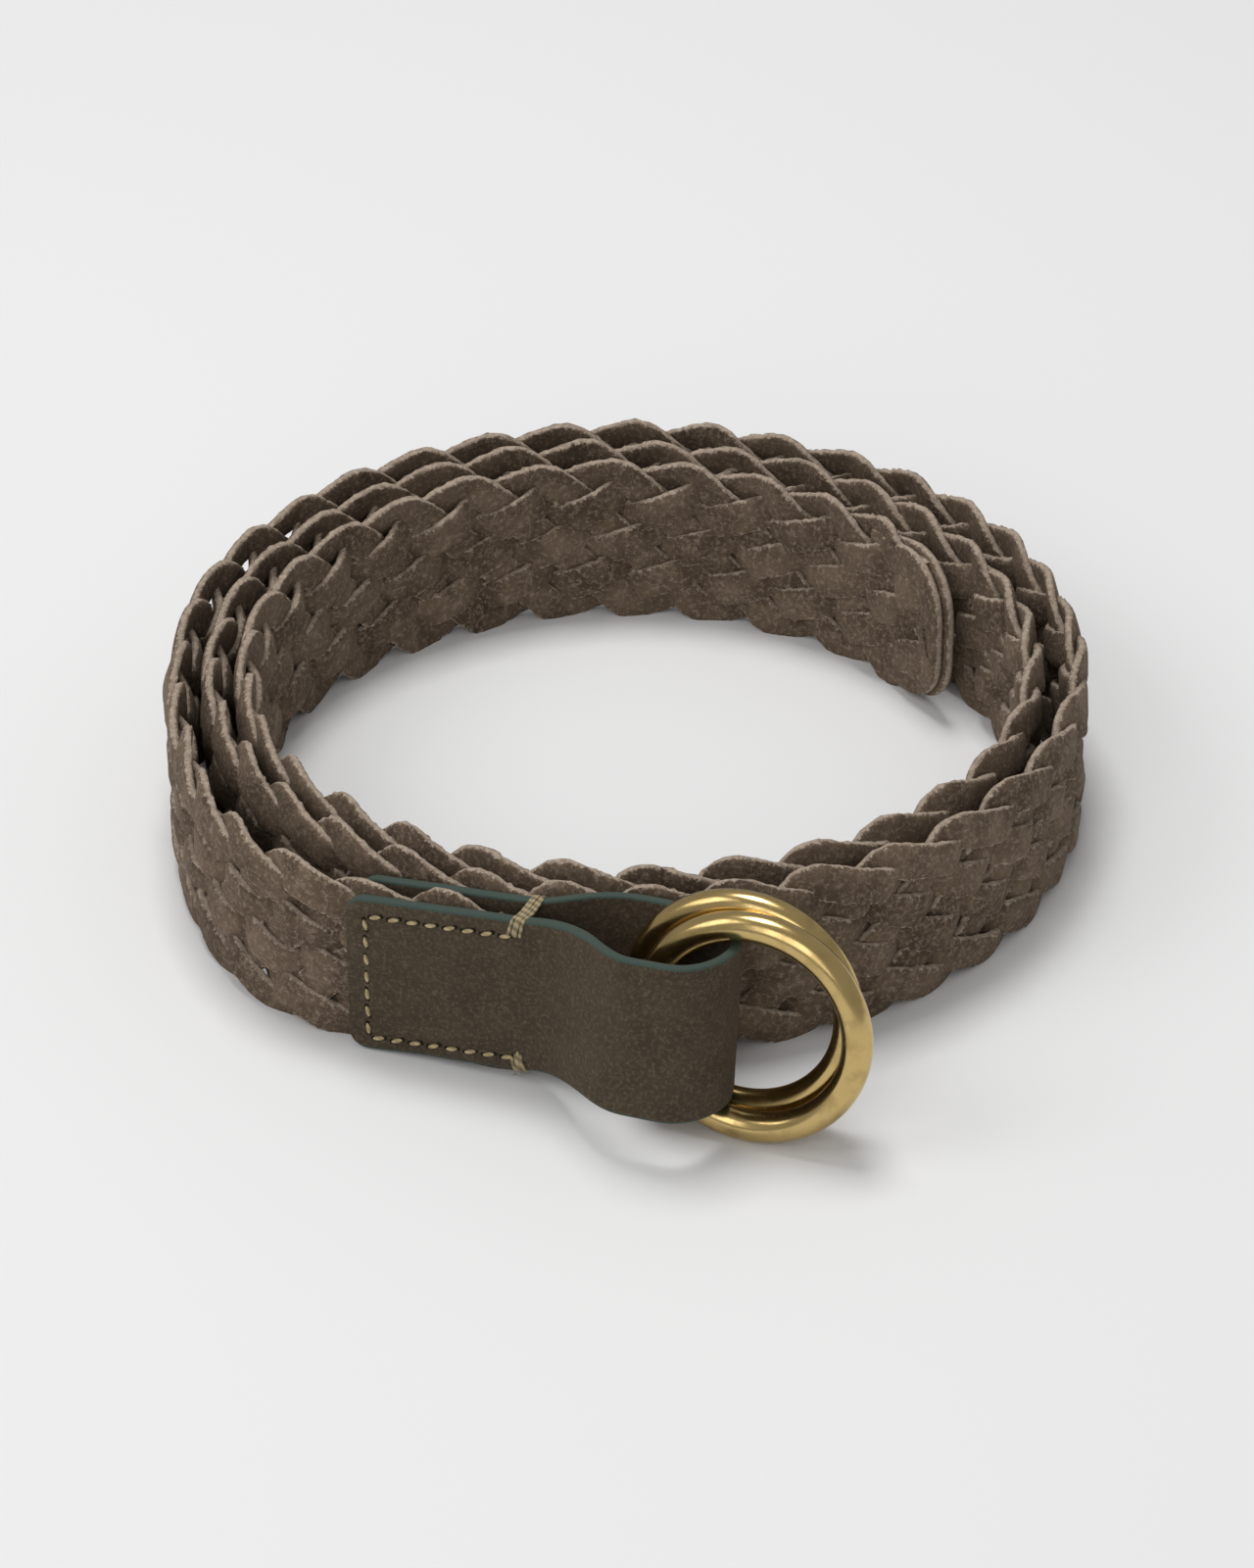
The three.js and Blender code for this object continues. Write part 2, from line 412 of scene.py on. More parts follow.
def nap_group() -> bpy.types.NodeTree:
    """Builds the nap of suede: broad mottling, pale fibre ends and a felted height.

    Returns:
        The shader group.
    """
    tree, start, end = new_group(
        "suede_nap",
        "ShaderNodeTree",
        {"Vector": "Vector", "Fibre Scale": "Float", "Mottle Scale": "Float"},
        {"Mottle": "Float", "Fibre": "Float", "Height": "Float"},
    )
    where = start.outputs["Vector"]
    fibre_scale = start.outputs["Fibre Scale"]
    mottle = noise(tree, where, start.outputs["Mottle Scale"], 4.0, 0.6)
    fine = noise(tree, where, fibre_scale, 3.0, 0.7)
    coarse = noise(tree, where, times(tree, fibre_scale, 0.42), 2.0, 0.6)
    tufts = times_plus(tree, coarse, 0.5, times(tree, fine, 0.5))
    tree.links.new(remap(tree, mottle, 0.3, 0.7), end.inputs["Mottle"])
    tree.links.new(remap(tree, tufts, 0.46, 0.66), end.inputs["Fibre"])
    tree.links.new(tufts, end.inputs["Height"])
    return tree


def wear_group() -> bpy.types.NodeTree:
    """Builds light ageing: cloudy tarnish and fine rubbing marks.

    Returns:
        The shader group.
    """
    tree, start, end = new_group(
        "metal_ageing",
        "ShaderNodeTree",
        {"Vector": "Vector", "Cloud Scale": "Float", "Mark Scale": "Float"},
        {"Tarnish": "Float", "Marks": "Float"},
    )
    where = start.outputs["Vector"]
    clouds = noise(tree, where, start.outputs["Cloud Scale"], 4.0, 0.6)
    stretch = {0: where, 1: (1.0, 1.0, 6.0)}
    stretched = add_node(tree, "ShaderNodeVectorMath", stretch, operation="MULTIPLY")
    marks = noise(tree, stretched.outputs[0], start.outputs["Mark Scale"], 2.0, 0.7)
    tree.links.new(remap(tree, clouds, 0.42, 0.72), end.inputs["Tarnish"])
    tree.links.new(marks, end.inputs["Marks"])
    return tree


def named_vector(tree: bpy.types.NodeTree, label: str) -> Socket:
    """Reads a vector attribute of the points in a geometry tree."""
    inputs = {"Name": label}
    reader = add_node(tree, "GeometryNodeInputNamedAttribute", inputs, data_type="FLOAT_VECTOR")
    return reader.outputs[0]


def sweep_tree() -> bpy.types.NodeTree:
    """Builds the tree that sweeps a soft-cornered section along every line of a wire mesh.

    Returns:
        The geometry tree. Its lines carry the attribute facing, the way their flat side looks.
    """
    tree, start, end = new_group(
        "lace_sweep",
        "GeometryNodeTree",
        {
            "Geometry": "Geometry",
            "Width": "Float",
            "Thickness": "Float",
            "Squareness": "Float",
            "Sides": "Int",
            "Material": "Material",
        },
        {"Geometry": "Geometry"},
    )
    unit_circle = {"Resolution": start.outputs["Sides"], "Radius": 1.0}
    circle = add_node(tree, "GeometryNodeCurvePrimitiveCircle", unit_circle, mode="RADIUS")
    where = add_node(tree, "GeometryNodeInputPosition", {})
    across = add_node(tree, "ShaderNodeSeparateXYZ", {0: where.outputs[0]})

    def squared(value: Socket, width: Socket) -> Socket:
        """Pushes one coordinate of the circle out towards a rectangle's side."""
        squareness = start.outputs["Squareness"]
        power = math_node(tree, "POWER", math_node(tree, "ABSOLUTE", value), squareness)
        signed = times(tree, math_node(tree, "SIGN", value), power)
        return times(tree, signed, times(tree, width, 0.5))

    rim = {
        "Geometry": circle.outputs["Curve"],
        "Name": Mask.RIM.value,
        "Value": math_node(tree, "ABSOLUTE", across.outputs[1]),
    }
    marked = add_node(
        tree, "GeometryNodeStoreNamedAttribute", rim, data_type="FLOAT", domain="POINT"
    )
    sides = {
        0: squared(across.outputs[0], start.outputs["Thickness"]),
        1: squared(across.outputs[1], start.outputs["Width"]),
    }
    place = add_node(tree, "ShaderNodeCombineXYZ", sides).outputs[0]
    moved = {"Geometry": marked.outputs[0], "Position": place}
    section = add_node(tree, "GeometryNodeSetPosition", moved)
    lines = add_node(tree, "GeometryNodeMeshToCurve", {0: start.outputs["Geometry"]})
    turn = {"Curve": lines.outputs[0], "Normal": named_vector(tree, "facing")}
    turned = add_node(tree, "GeometryNodeSetCurveNormal", turn, mode="FREE")
    sweep = {"Curve": turned.outputs[0], "Profile Curve": section.outputs[0], "Fill Caps": True}
    swept = add_node(tree, "GeometryNodeCurveToMesh", sweep)
    whole = add_node(tree, "GeometryNodeRealizeInstances", {0: swept.outputs[0]})
    finish = {"Geometry": whole.outputs[0], "Material": start.outputs["Material"]}
    dressed = add_node(tree, "GeometryNodeSetMaterial", finish)
    tree.links.new(dressed.outputs[0], end.inputs[0])
    return tree


def stitch_tree() -> bpy.types.NodeTree:
    """Builds the tree that puts a stitch and its two needle holes, drawn as flat dark discs of
    painted shade, on every point of a mesh.

    Returns:
        The geometry tree. The points carry the attributes along and facing.
    """
    tree, start, end = new_group(
        "stitch_row",
        "GeometryNodeTree",
        {
            "Geometry": "Geometry",
            "Length": "Float",
            "Thickness": "Float",
            "Hole": "Float",
            "Tilt": "Float",
            "Seed": "Int",
            "Thread": "Material",
            "Hole Shade Material": "Material",
        },
        {"Geometry": "Geometry"},
    )
    length, thickness, hole = (start.outputs[label] for label in ("Length", "Thickness", "Hole"))
    axes = {0: named_vector(tree, "along"), 1: named_vector(tree, "facing")}
    aligned = add_node(
        tree, "FunctionNodeAxesToRotation", axes, primary_axis="X", secondary_axis="Z"
    )
    tilt = start.outputs["Tilt"]
    tilts = {2: times(tree, tilt, 0.3), 3: tilt, "Seed": start.outputs["Seed"]}
    turn = add_node(tree, "FunctionNodeRandomValue", tilts)
    spin = {"Axis": (0.0, 0.0, 1.0), "Angle": turn.outputs[1]}
    spun = add_node(tree, "FunctionNodeAxisAngleToRotation", spin)
    both = {0: aligned.outputs[0], 1: spun.outputs[0]}
    rotation = add_node(tree, "FunctionNodeRotateRotation", both, rotation_space="LOCAL")

    def ball(size: Sequence[Any], offset: Sequence[Any], material: Socket) -> Socket:
        """Makes a stretched ball of its own material, ready to be placed on the points.

        Args:
            size: Its length, width and height.
            offset: Where its middle lies from the point.
            material: Its material.

        Returns:
            The ball.
        """
        round_ball = {"Segments": 12, "Rings": 8, "Radius": 0.5}
        sphere = add_node(tree, "GeometryNodeMeshUVSphere", round_ball)
        scale = add_node(tree, "ShaderNodeCombineXYZ", dict(enumerate(size)))
        move = add_node(tree, "ShaderNodeCombineXYZ", dict(enumerate(offset)))
        shape = {
            "Geometry": sphere.outputs[0],
            "Scale": scale.outputs[0],
            "Translation": move.outputs[0],
        }
        placed = add_node(tree, "GeometryNodeTransform", shape)
        smoothed = add_node(tree, "GeometryNodeSetShadeSmooth", {"Geometry": placed.outputs[0]})
        finish = {0: smoothed.outputs[0], "Material": material}
        return add_node(tree, "GeometryNodeSetMaterial", finish).outputs[0]

    half = times(tree, length, 0.5)
    flat = times(tree, hole, 0.3)
    back = times(tree, half, -1.0)
    proud = times(tree, thickness, 0.22)
    dark = start.outputs["Hole Shade Material"]
    parts = add_node(tree, "GeometryNodeJoinGeometry", {})
    for part in (
        ball((length, thickness, thickness), (0.0, 0.0, proud), start.outputs["Thread"]),
        # Two flat dark discs at the stitch's ends: painted shade inside the needle holes.
        ball((hole, hole, flat), (half, 0.0, 0.0), dark),
        ball((hole, hole, flat), (back, 0.0, 0.0), dark),
    ):
        tree.links.new(part, parts.inputs[0])
    spread = {
        "Points": start.outputs["Geometry"],
        "Instance": parts.outputs[0],
        "Rotation": rotation.outputs[0],
    }
    placed = add_node(tree, "GeometryNodeInstanceOnPoints", spread)
    whole = add_node(tree, "GeometryNodeRealizeInstances", {0: placed.outputs[0]})
    tree.links.new(whole.outputs[0], end.inputs[0])
    return tree


def grow(
    name: str,
    base: bpy.types.Object,
    tree: bpy.types.NodeTree,
    inputs: Dict[str, Any],
) -> bpy.types.Mesh:
    """Runs a geometry tree on a base mesh and keeps the result as a plain mesh.

    Args:
        name: The new mesh's name.
        base: The object the tree starts from, which is deleted.
        tree: The geometry tree.
        inputs: A value for each of the tree's named inputs.

    Returns:
        The baked mesh.
    """
    modifier = base.modifiers.new("grow", "NODES")
    modifier.node_group = tree
    for item in tree.interface.items_tree:
        if item.item_type == "SOCKET" and item.in_out == "INPUT" and item.name in inputs:
            modifier[item.identifier] = inputs[item.name]
    bpy.context.view_layer.update()
    depsgraph = bpy.context.evaluated_depsgraph_get()
    mesh = bpy.data.meshes.new_from_object(base.evaluated_get(depsgraph), depsgraph=depsgraph)
    mesh.name = name
    base.modifiers.clear()
    spent = base.data
    bpy.data.objects.remove(base)
    bpy.data.meshes.remove(spent)
    return mesh


def wire_object(
    lines: Sequence[np.ndarray],
    vectors: Dict[str, Sequence[np.ndarray]],
) -> bpy.types.Object:
    """Makes a mesh of lines, or of loose points, for a geometry tree to start from.

    Args:
        lines: For each line, its points in metres.
        vectors: For each vector attribute, its values for each line.

    Returns:
        The base object, whose points also carry their number as the attribute order.
    """
    mesh = bpy.data.meshes.new("wire")
    starts = np.cumsum([0] + [len(line) for line in lines])
    edges = [(k, k + 1) for a, b in zip(starts[:-1], starts[1:]) for k in range(a, b - 1)]
    mesh.from_pydata(np.concatenate(lines).tolist(), edges, [])
    for label, values in vectors.items():
        layer = mesh.attributes.new(label, "FLOAT_VECTOR", "POINT")
        layer.data.foreach_set("vector", np.concatenate(values).astype(np.float32).ravel())
    set_values(mesh, "order", np.arange(starts[-1]))
    return link_object("wire", mesh)


# ---- Finishes ----


def material_tree(
    name: str,
) -> Tuple[bpy.types.Material, bpy.types.NodeTree, bpy.types.Node, Socket]:
    """Makes a material with one Principled shader.

    Args:
        name: The material's name.

    Returns:
        The material, its tree, the shader and the object coordinates.
    """
    material = bpy.data.materials.new(name)
    material.use_nodes = True
    tree = material.node_tree
    shader = tree.nodes["Principled BSDF"]
    where = add_node(tree, "ShaderNodeTexCoord", {}).outputs["Object"]
    return material, tree, shader, where


def add_bump(
    tree: bpy.types.NodeTree,
    shader: bpy.types.Node,
    height: Socket,
    strength: float,
    depth: float,
) -> None:
    """Feeds a height to the shader's normal.

    Args:
        tree: The material's tree.
        shader: Its Principled shader.
        height: The height, about 0 to 1.
        strength: How strongly it counts.
        depth: The height of 1, in metres.
    """
    inputs = {"Height": height, "Strength": strength, "Distance": depth}
    tree.links.new(add_node(tree, "ShaderNodeBump", inputs).outputs[0], shader.inputs["Normal"])


def dress(tree: bpy.types.NodeTree, shader: bpy.types.Node, values: Dict[str, Any]) -> None:
    """Fills or links the Principled shader's inputs by name."""
    for label, value in values.items():
        set_input(tree, shader.inputs[label], value)


@dataclass(frozen=True)
class SuedeFinish:
    """Napped leather, with fuzzy paler cut edges, partly their own paler fuzz and partly a painted
    highlight, and, on the tab, painted edges.
    """

    name: str
    dark: Colour
    light: Colour
    fibre: Colour
    rim: Colour
    paint: Colour = (0.044, 0.068, 0.056, 1.0)
    fibre_share: float = 0.45
    rim_share: float = 0.6
    fibre_scale: float = 2600.0
    mottle_scale: float = 160.0
    nap_depth: float = 0.00035

    def build(self, nap: bpy.types.NodeTree) -> bpy.types.Material:
        """Makes the material.

        Args:
            nap: The shared nap group.

        Returns:
            The material.
        """
        material, tree, shader, where = material_tree(self.name)
        group = add_node(tree, "ShaderNodeGroup", {}, node_tree=nap)
        scales = {"Fibre Scale": self.fibre_scale, "Mottle Scale": self.mottle_scale}
        dress(tree, group, {"Vector": where, **scales})
        mottle, fibre, height = (group.outputs[label] for label in ("Mottle", "Fibre", "Height"))
        tone, rim, paint = (
            add_node(tree, "ShaderNodeAttribute", {}, attribute_name=mask.value).outputs["Fac"]
            for mask in (Mask.TONE, Mask.RIM, Mask.PAINT)
        )
        shade = math_node(tree, "ADD", times(tree, mottle, 0.75), tone, clamp=True)
        colour = mix_colour(tree, shade, self.dark, self.light)
        colour = mix_colour(tree, times(tree, fibre, self.fibre_share), colour, self.fibre)
        # Cut edges are mixed towards the pale rim colour: partly the suede's own paler fuzz, partly
        # a painted highlight.
        ragged = math_node(tree, "ADD", rim, times_plus(tree, fibre, 0.24, -0.12))
        edge_fuzz_and_highlight = times(tree, remap(tree, ragged, 0.74, 0.94), self.rim_share)
        colour = mix_colour(tree, edge_fuzz_and_highlight, colour, self.rim)
        cover = remap(tree, times_plus(tree, fibre, -0.25, paint), 0.3, 0.6)
        dress(tree, shader, {
            "Base Color": mix_colour(tree, cover, colour, self.paint),
            "Roughness": times_plus(tree, cover, -0.35, 0.95),
            "Specular IOR Level": 0.2,
            "Sheen Weight": 0.25,
            "Sheen Roughness": 0.5,
            "Sheen Tint": self.fibre,
        })
        add_bump(tree, shader, height, 0.8, self.nap_depth)
        return material


@dataclass(frozen=True)
class BrassFinish:
    """Polished brass, lightly aged."""

    name: str = "ring_brass"
    bright: Colour = (0.59, 0.43, 0.18, 1.0)
    aged: Colour = (0.28, 0.19, 0.07, 1.0)
    cloud_scale: float = 260.0
    mark_scale: float = 2600.0
    mark_depth: float = 0.00004

    def build(self, wear: bpy.types.NodeTree) -> bpy.types.Material:
        """Makes the material.

        Args:
            wear: The shared ageing group.

        Returns:
            The material.
        """
        material, tree, shader, where = material_tree(self.name)
        group = add_node(tree, "ShaderNodeGroup", {}, node_tree=wear)
        scales = {"Cloud Scale": self.cloud_scale, "Mark Scale": self.mark_scale}
        dress(tree, group, {"Vector": where, **scales})
        tarnish, marks = group.outputs["Tarnish"], group.outputs["Marks"]
        dull = times_plus(tree, marks, 0.12, 0.12)
        dress(tree, shader, {
            "Base Color": mix_colour(tree, times(tree, tarnish, 0.4), self.bright, self.aged),
            "Roughness": times_plus(tree, tarnish, 0.1, dull),
            "Metallic": 1.0,
        })
        add_bump(tree, shader, marks, 0.12, self.mark_depth)
        return material


@dataclass(frozen=True)
class ThreadFinish:
    """Waxed sewing thread, with the lay of its plies as fine slanted bands, whose darker grooves
    are painted shade.
    """

    name: str
    pale: Colour
    painted_shade: Colour
    ply_scale: float = 350.0
    fuzz_scale: float = 3000.0
    ply_depth: float = 0.0001

    def build(self) -> bpy.types.Material:
        """Makes the material.

        Returns:
            The material.
        """
        material, tree, shader, where = material_tree(self.name)
        lay = {"Scale": self.ply_scale, "Distortion": 1.5, "Detail": 2.0, "Detail Scale": 3.0}
        bands = add_node(
            tree, "ShaderNodeTexWave", {"Vector": where, **lay}, bands_direction="DIAGONAL"
        ).outputs["Fac"]
        fuzz = noise(tree, where, self.fuzz_scale, 3.0, 0.7)
        # The bands mix the thread colour towards painted shade in the grooves between plies.
        shade = times_plus(tree, bands, 0.6, times(tree, fuzz, 0.5))
        dress(tree, shader, {
            "Base Color": mix_colour(tree, shade, self.painted_shade, self.pale),
            "Roughness": 0.6,
            "Sheen Weight": 0.15,
        })
        add_bump(tree, shader, shade, 0.7, self.ply_depth)
        return material


@dataclass(frozen=True)
class HoleShadeFinish:
    """The shaded inside of a needle hole in suede."""

    name: str = "needle_hole_shade"
    painted_shade: Colour = (0.008, 0.006, 0.005, 1.0)
    fibre: Colour = (0.03, 0.024, 0.019, 1.0)
    grain_scale: float = 2500.0

    def build(self) -> bpy.types.Material:
        """Makes the material.

        Returns:
            The material.
        """
        material, tree, shader, where = material_tree(self.name)
        grain = noise(tree, where, self.grain_scale)
        dress(tree, shader, {
            "Base Color": mix_colour(tree, grain, self.painted_shade, self.fibre),
            "Roughness": 1.0,
            "Specular IOR Level": 0.0,
        })
        return material


class Finishes:
    """Every finish of the belt, built once."""

    def __init__(self) -> None:
        """Builds the shader groups and the materials."""
        nap = nap_group()
        self.braid = SuedeFinish(
            "braid_suede",
            dark=(0.064, 0.043, 0.029, 1.0),
            light=(0.156, 0.112, 0.076, 1.0),
            fibre=(0.32, 0.248, 0.184, 1.0),
            # rim: the cut edges' paler fuzz together with a painted highlight.
            rim=(0.40, 0.325, 0.255, 1.0),
            fibre_share=0.6,
            rim_share=0.92,
        ).build(nap)
        self.tab = SuedeFinish(
            "tab_suede",
            dark=(0.050, 0.037, 0.023, 1.0),
            light=(0.068, 0.051, 0.033, 1.0),
            fibre=(0.19, 0.15, 0.105, 1.0),
            rim=(0.10, 0.08, 0.062, 1.0),
            fibre_scale=3600.0,
        ).build(nap)
        self.brass = BrassFinish().build(wear_group())
        self.thread = ThreadFinish(
            "seam_thread", pale=(0.50, 0.40, 0.21, 1.0), painted_shade=(0.25, 0.18, 0.08, 1.0)
        ).build()
        # The tack thread's nearly black band colour is painted shade between its plies.
        self.tack = ThreadFinish(
            "tack_thread", pale=(0.45, 0.36, 0.19, 1.0), painted_shade=(0.05, 0.037, 0.016, 1.0)
        ).build()
        # The needle holes' flat dark discs are painted shade.
        self.hole = HoleShadeFinish().build()


# ---- Where things are ----


class BeltLine:
    """The middle line of the strap, seen from above, and the tab's place beside it.

    A station is the length along the strap from its cut end inside the tab. The outside of the
    strap is the side away from the coil's centre.
    """

    def __init__(self, strap: StrapSizes, tab: TabSizes, joints: Sequence[Dict[str, Any]]) -> None:
        """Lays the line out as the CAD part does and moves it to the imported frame.

        Args:
            strap: The strap's sizes.
            tab: The tab's sizes.
            joints: The record's joints, which give the place of the first strap hinge.
        """
        self.strap, self.tab = strap, tab
        angle = math.radians(tab.heading)
        self.along = np.array([math.cos(angle), math.sin(angle)])
        self.towards_coil = np.array([-self.along[1], self.along[0]])
        self.leaf_inside = strap.pressed / 2 + tab.leaf_gap
        self.leaf_outside = self.leaf_inside + tab.leaf
        turn_behind = -self.coil_point(np.array(tab.heading - 90.0)) @ self.towards_coil
        distance = turn_behind + strap.thickness / 2 + tab.to_coil + self.leaf_outside
        self.foot = -self.towards_coil * distance
        self.tab_end = tab.start + tab.sewn_length
        self.hinges = [Vector(j["pos_m"]) for j in joints if j["name"].startswith("uncoil_")]
        first_hinge = self.foot + self.along * (tab.start - tab.hinge_inset)
        shift = np.array(self.hinges[0][:2]) / MM - first_hinge
        self.foot = self.foot + shift
        points = self._plan(first_hinge) + shift
        steps = np.linalg.norm(np.diff(points, axis=0), axis=1)
        self.stations = np.concatenate([[0.0], np.cumsum(steps)])
        self.points = points
        tangents = unit(np.gradient(points, axis=0))
        self.outward = np.stack([-tangents[:, 1], tangents[:, 0]], 1)
        last_angle = np.array(strap.start_angle - strap.coil_links * strap.link_angle)
        last_hinge = self.nearest(self.coil_point(last_angle) + shift)
        self.tip = last_hinge + strap.tip_length + strap.thickness / 2

    def coil_point(self, angle: np.ndarray) -> np.ndarray:
        """Finds the coil's line at an angle in degrees about the coil's centre."""
        turns = (self.strap.start_angle - angle) / 360.0
        radius = self.strap.coil_radius - (self.strap.thickness + self.strap.layer_gap) * turns
        x = radius * np.cos(np.radians(angle)) + self.strap.drift[0] * turns
        y = radius * np.sin(np.radians(angle)) + self.strap.drift[1] * turns
        return np.stack([x, y], -1)

    def _plan(self, first_hinge: np.ndarray) -> np.ndarray:
        """Lists closely spaced points of the strap, from the tab round the lead-in to the tip.

        Args:
            first_hinge: Where the first strap hinge stands.

        Returns:
            The points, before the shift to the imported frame.
        """
        strap, tab = self.strap, self.tab
        in_tab = self.tab_end - 2 * tab.tack - tab.start + tab.hinge_inset
        cut = first_hinge + self.along * in_tab
        straight = cut + (first_hinge - cut) * np.linspace(0, 1, 60)[:-1, None]
        end = self.coil_point(np.array(strap.start_angle))
        arriving = unit(self.coil_point(np.array(strap.start_angle - 1)) - end)
        reach = np.linalg.norm(end - first_hinge) * strap.lead_in_reach
        handles = [first_hinge, first_hinge - self.along * reach, end - arriving * reach, end]
        t = np.linspace(0, 1, 240)[:-1, None]
        weights = [(1 - t) ** 3, 3 * t * (1 - t) ** 2, 3 * t**2 * (1 - t), t**3]
        bend = sum(w * h for w, h in zip(weights, handles))
        sweep = strap.coil_links * strap.link_angle + 14.0
        coil = self.coil_point(strap.start_angle - np.linspace(0, sweep, 3200))
        return np.concatenate([straight, bend, coil])

    def nearest(self, point: np.ndarray) -> float:
        """Finds the station that is nearest to a point."""
        return float(self.stations[np.argmin(np.linalg.norm(self.points - point, axis=1))])

    def hinge_stations(self) -> List[float]:
        """Lists the stations of the strap's hinges, from the tab to the tip."""
        return [self.nearest(np.array(hinge[:2]) / MM) for hinge in self.hinges]

    def place(self, station: np.ndarray, height: np.ndarray, out: np.ndarray) -> np.ndarray:
        """Turns strap coordinates into points of the row frame, in millimetres.

        Args:
            station: Length along the strap.
            height: Height across the strap's width.
            out: Distance from the strap's middle surface, outwards.

        Returns:
            The points.
        """
        x, y = (np.interp(station, self.stations, self.points[:, k]) for k in (0, 1))
        normal = self.facing(station)
        return np.stack([x + normal[..., 0] * out, y + normal[..., 1] * out, height], -1)

    def facing(self, station: np.ndarray) -> np.ndarray:
        """Gives the strap's outward direction at a station."""
        x, y = (np.interp(station, self.stations, self.outward[:, k]) for k in (0, 1))
        return unit(np.stack([x, y, np.zeros_like(x)], -1))

    def tab_place(self, along: Any, out: Any, height: Any) -> np.ndarray:
        """Turns tab coordinates into points of the row frame, in millimetres.

        Args:
            along: Distance along the tab towards the rings.
            out: Distance from its middle plane, away from the coil.
            height: Height above the floor.

        Returns:
            The points.
        """
        values = (np.asarray(value, float) for value in (along, out, height))
        along, out, height = np.broadcast_arrays(*values)
        flat = self.foot + along[..., None] * self.along - out[..., None] * self.towards_coil
        return np.concatenate([flat, height[..., None]], -1)

    def tab_direction(self, along: float, out: float, height: float) -> np.ndarray:
        """Turns a direction in tab coordinates into one of the row frame."""
        flat = along * self.along - out * self.towards_coil
        return np.array([flat[0], flat[1], height])


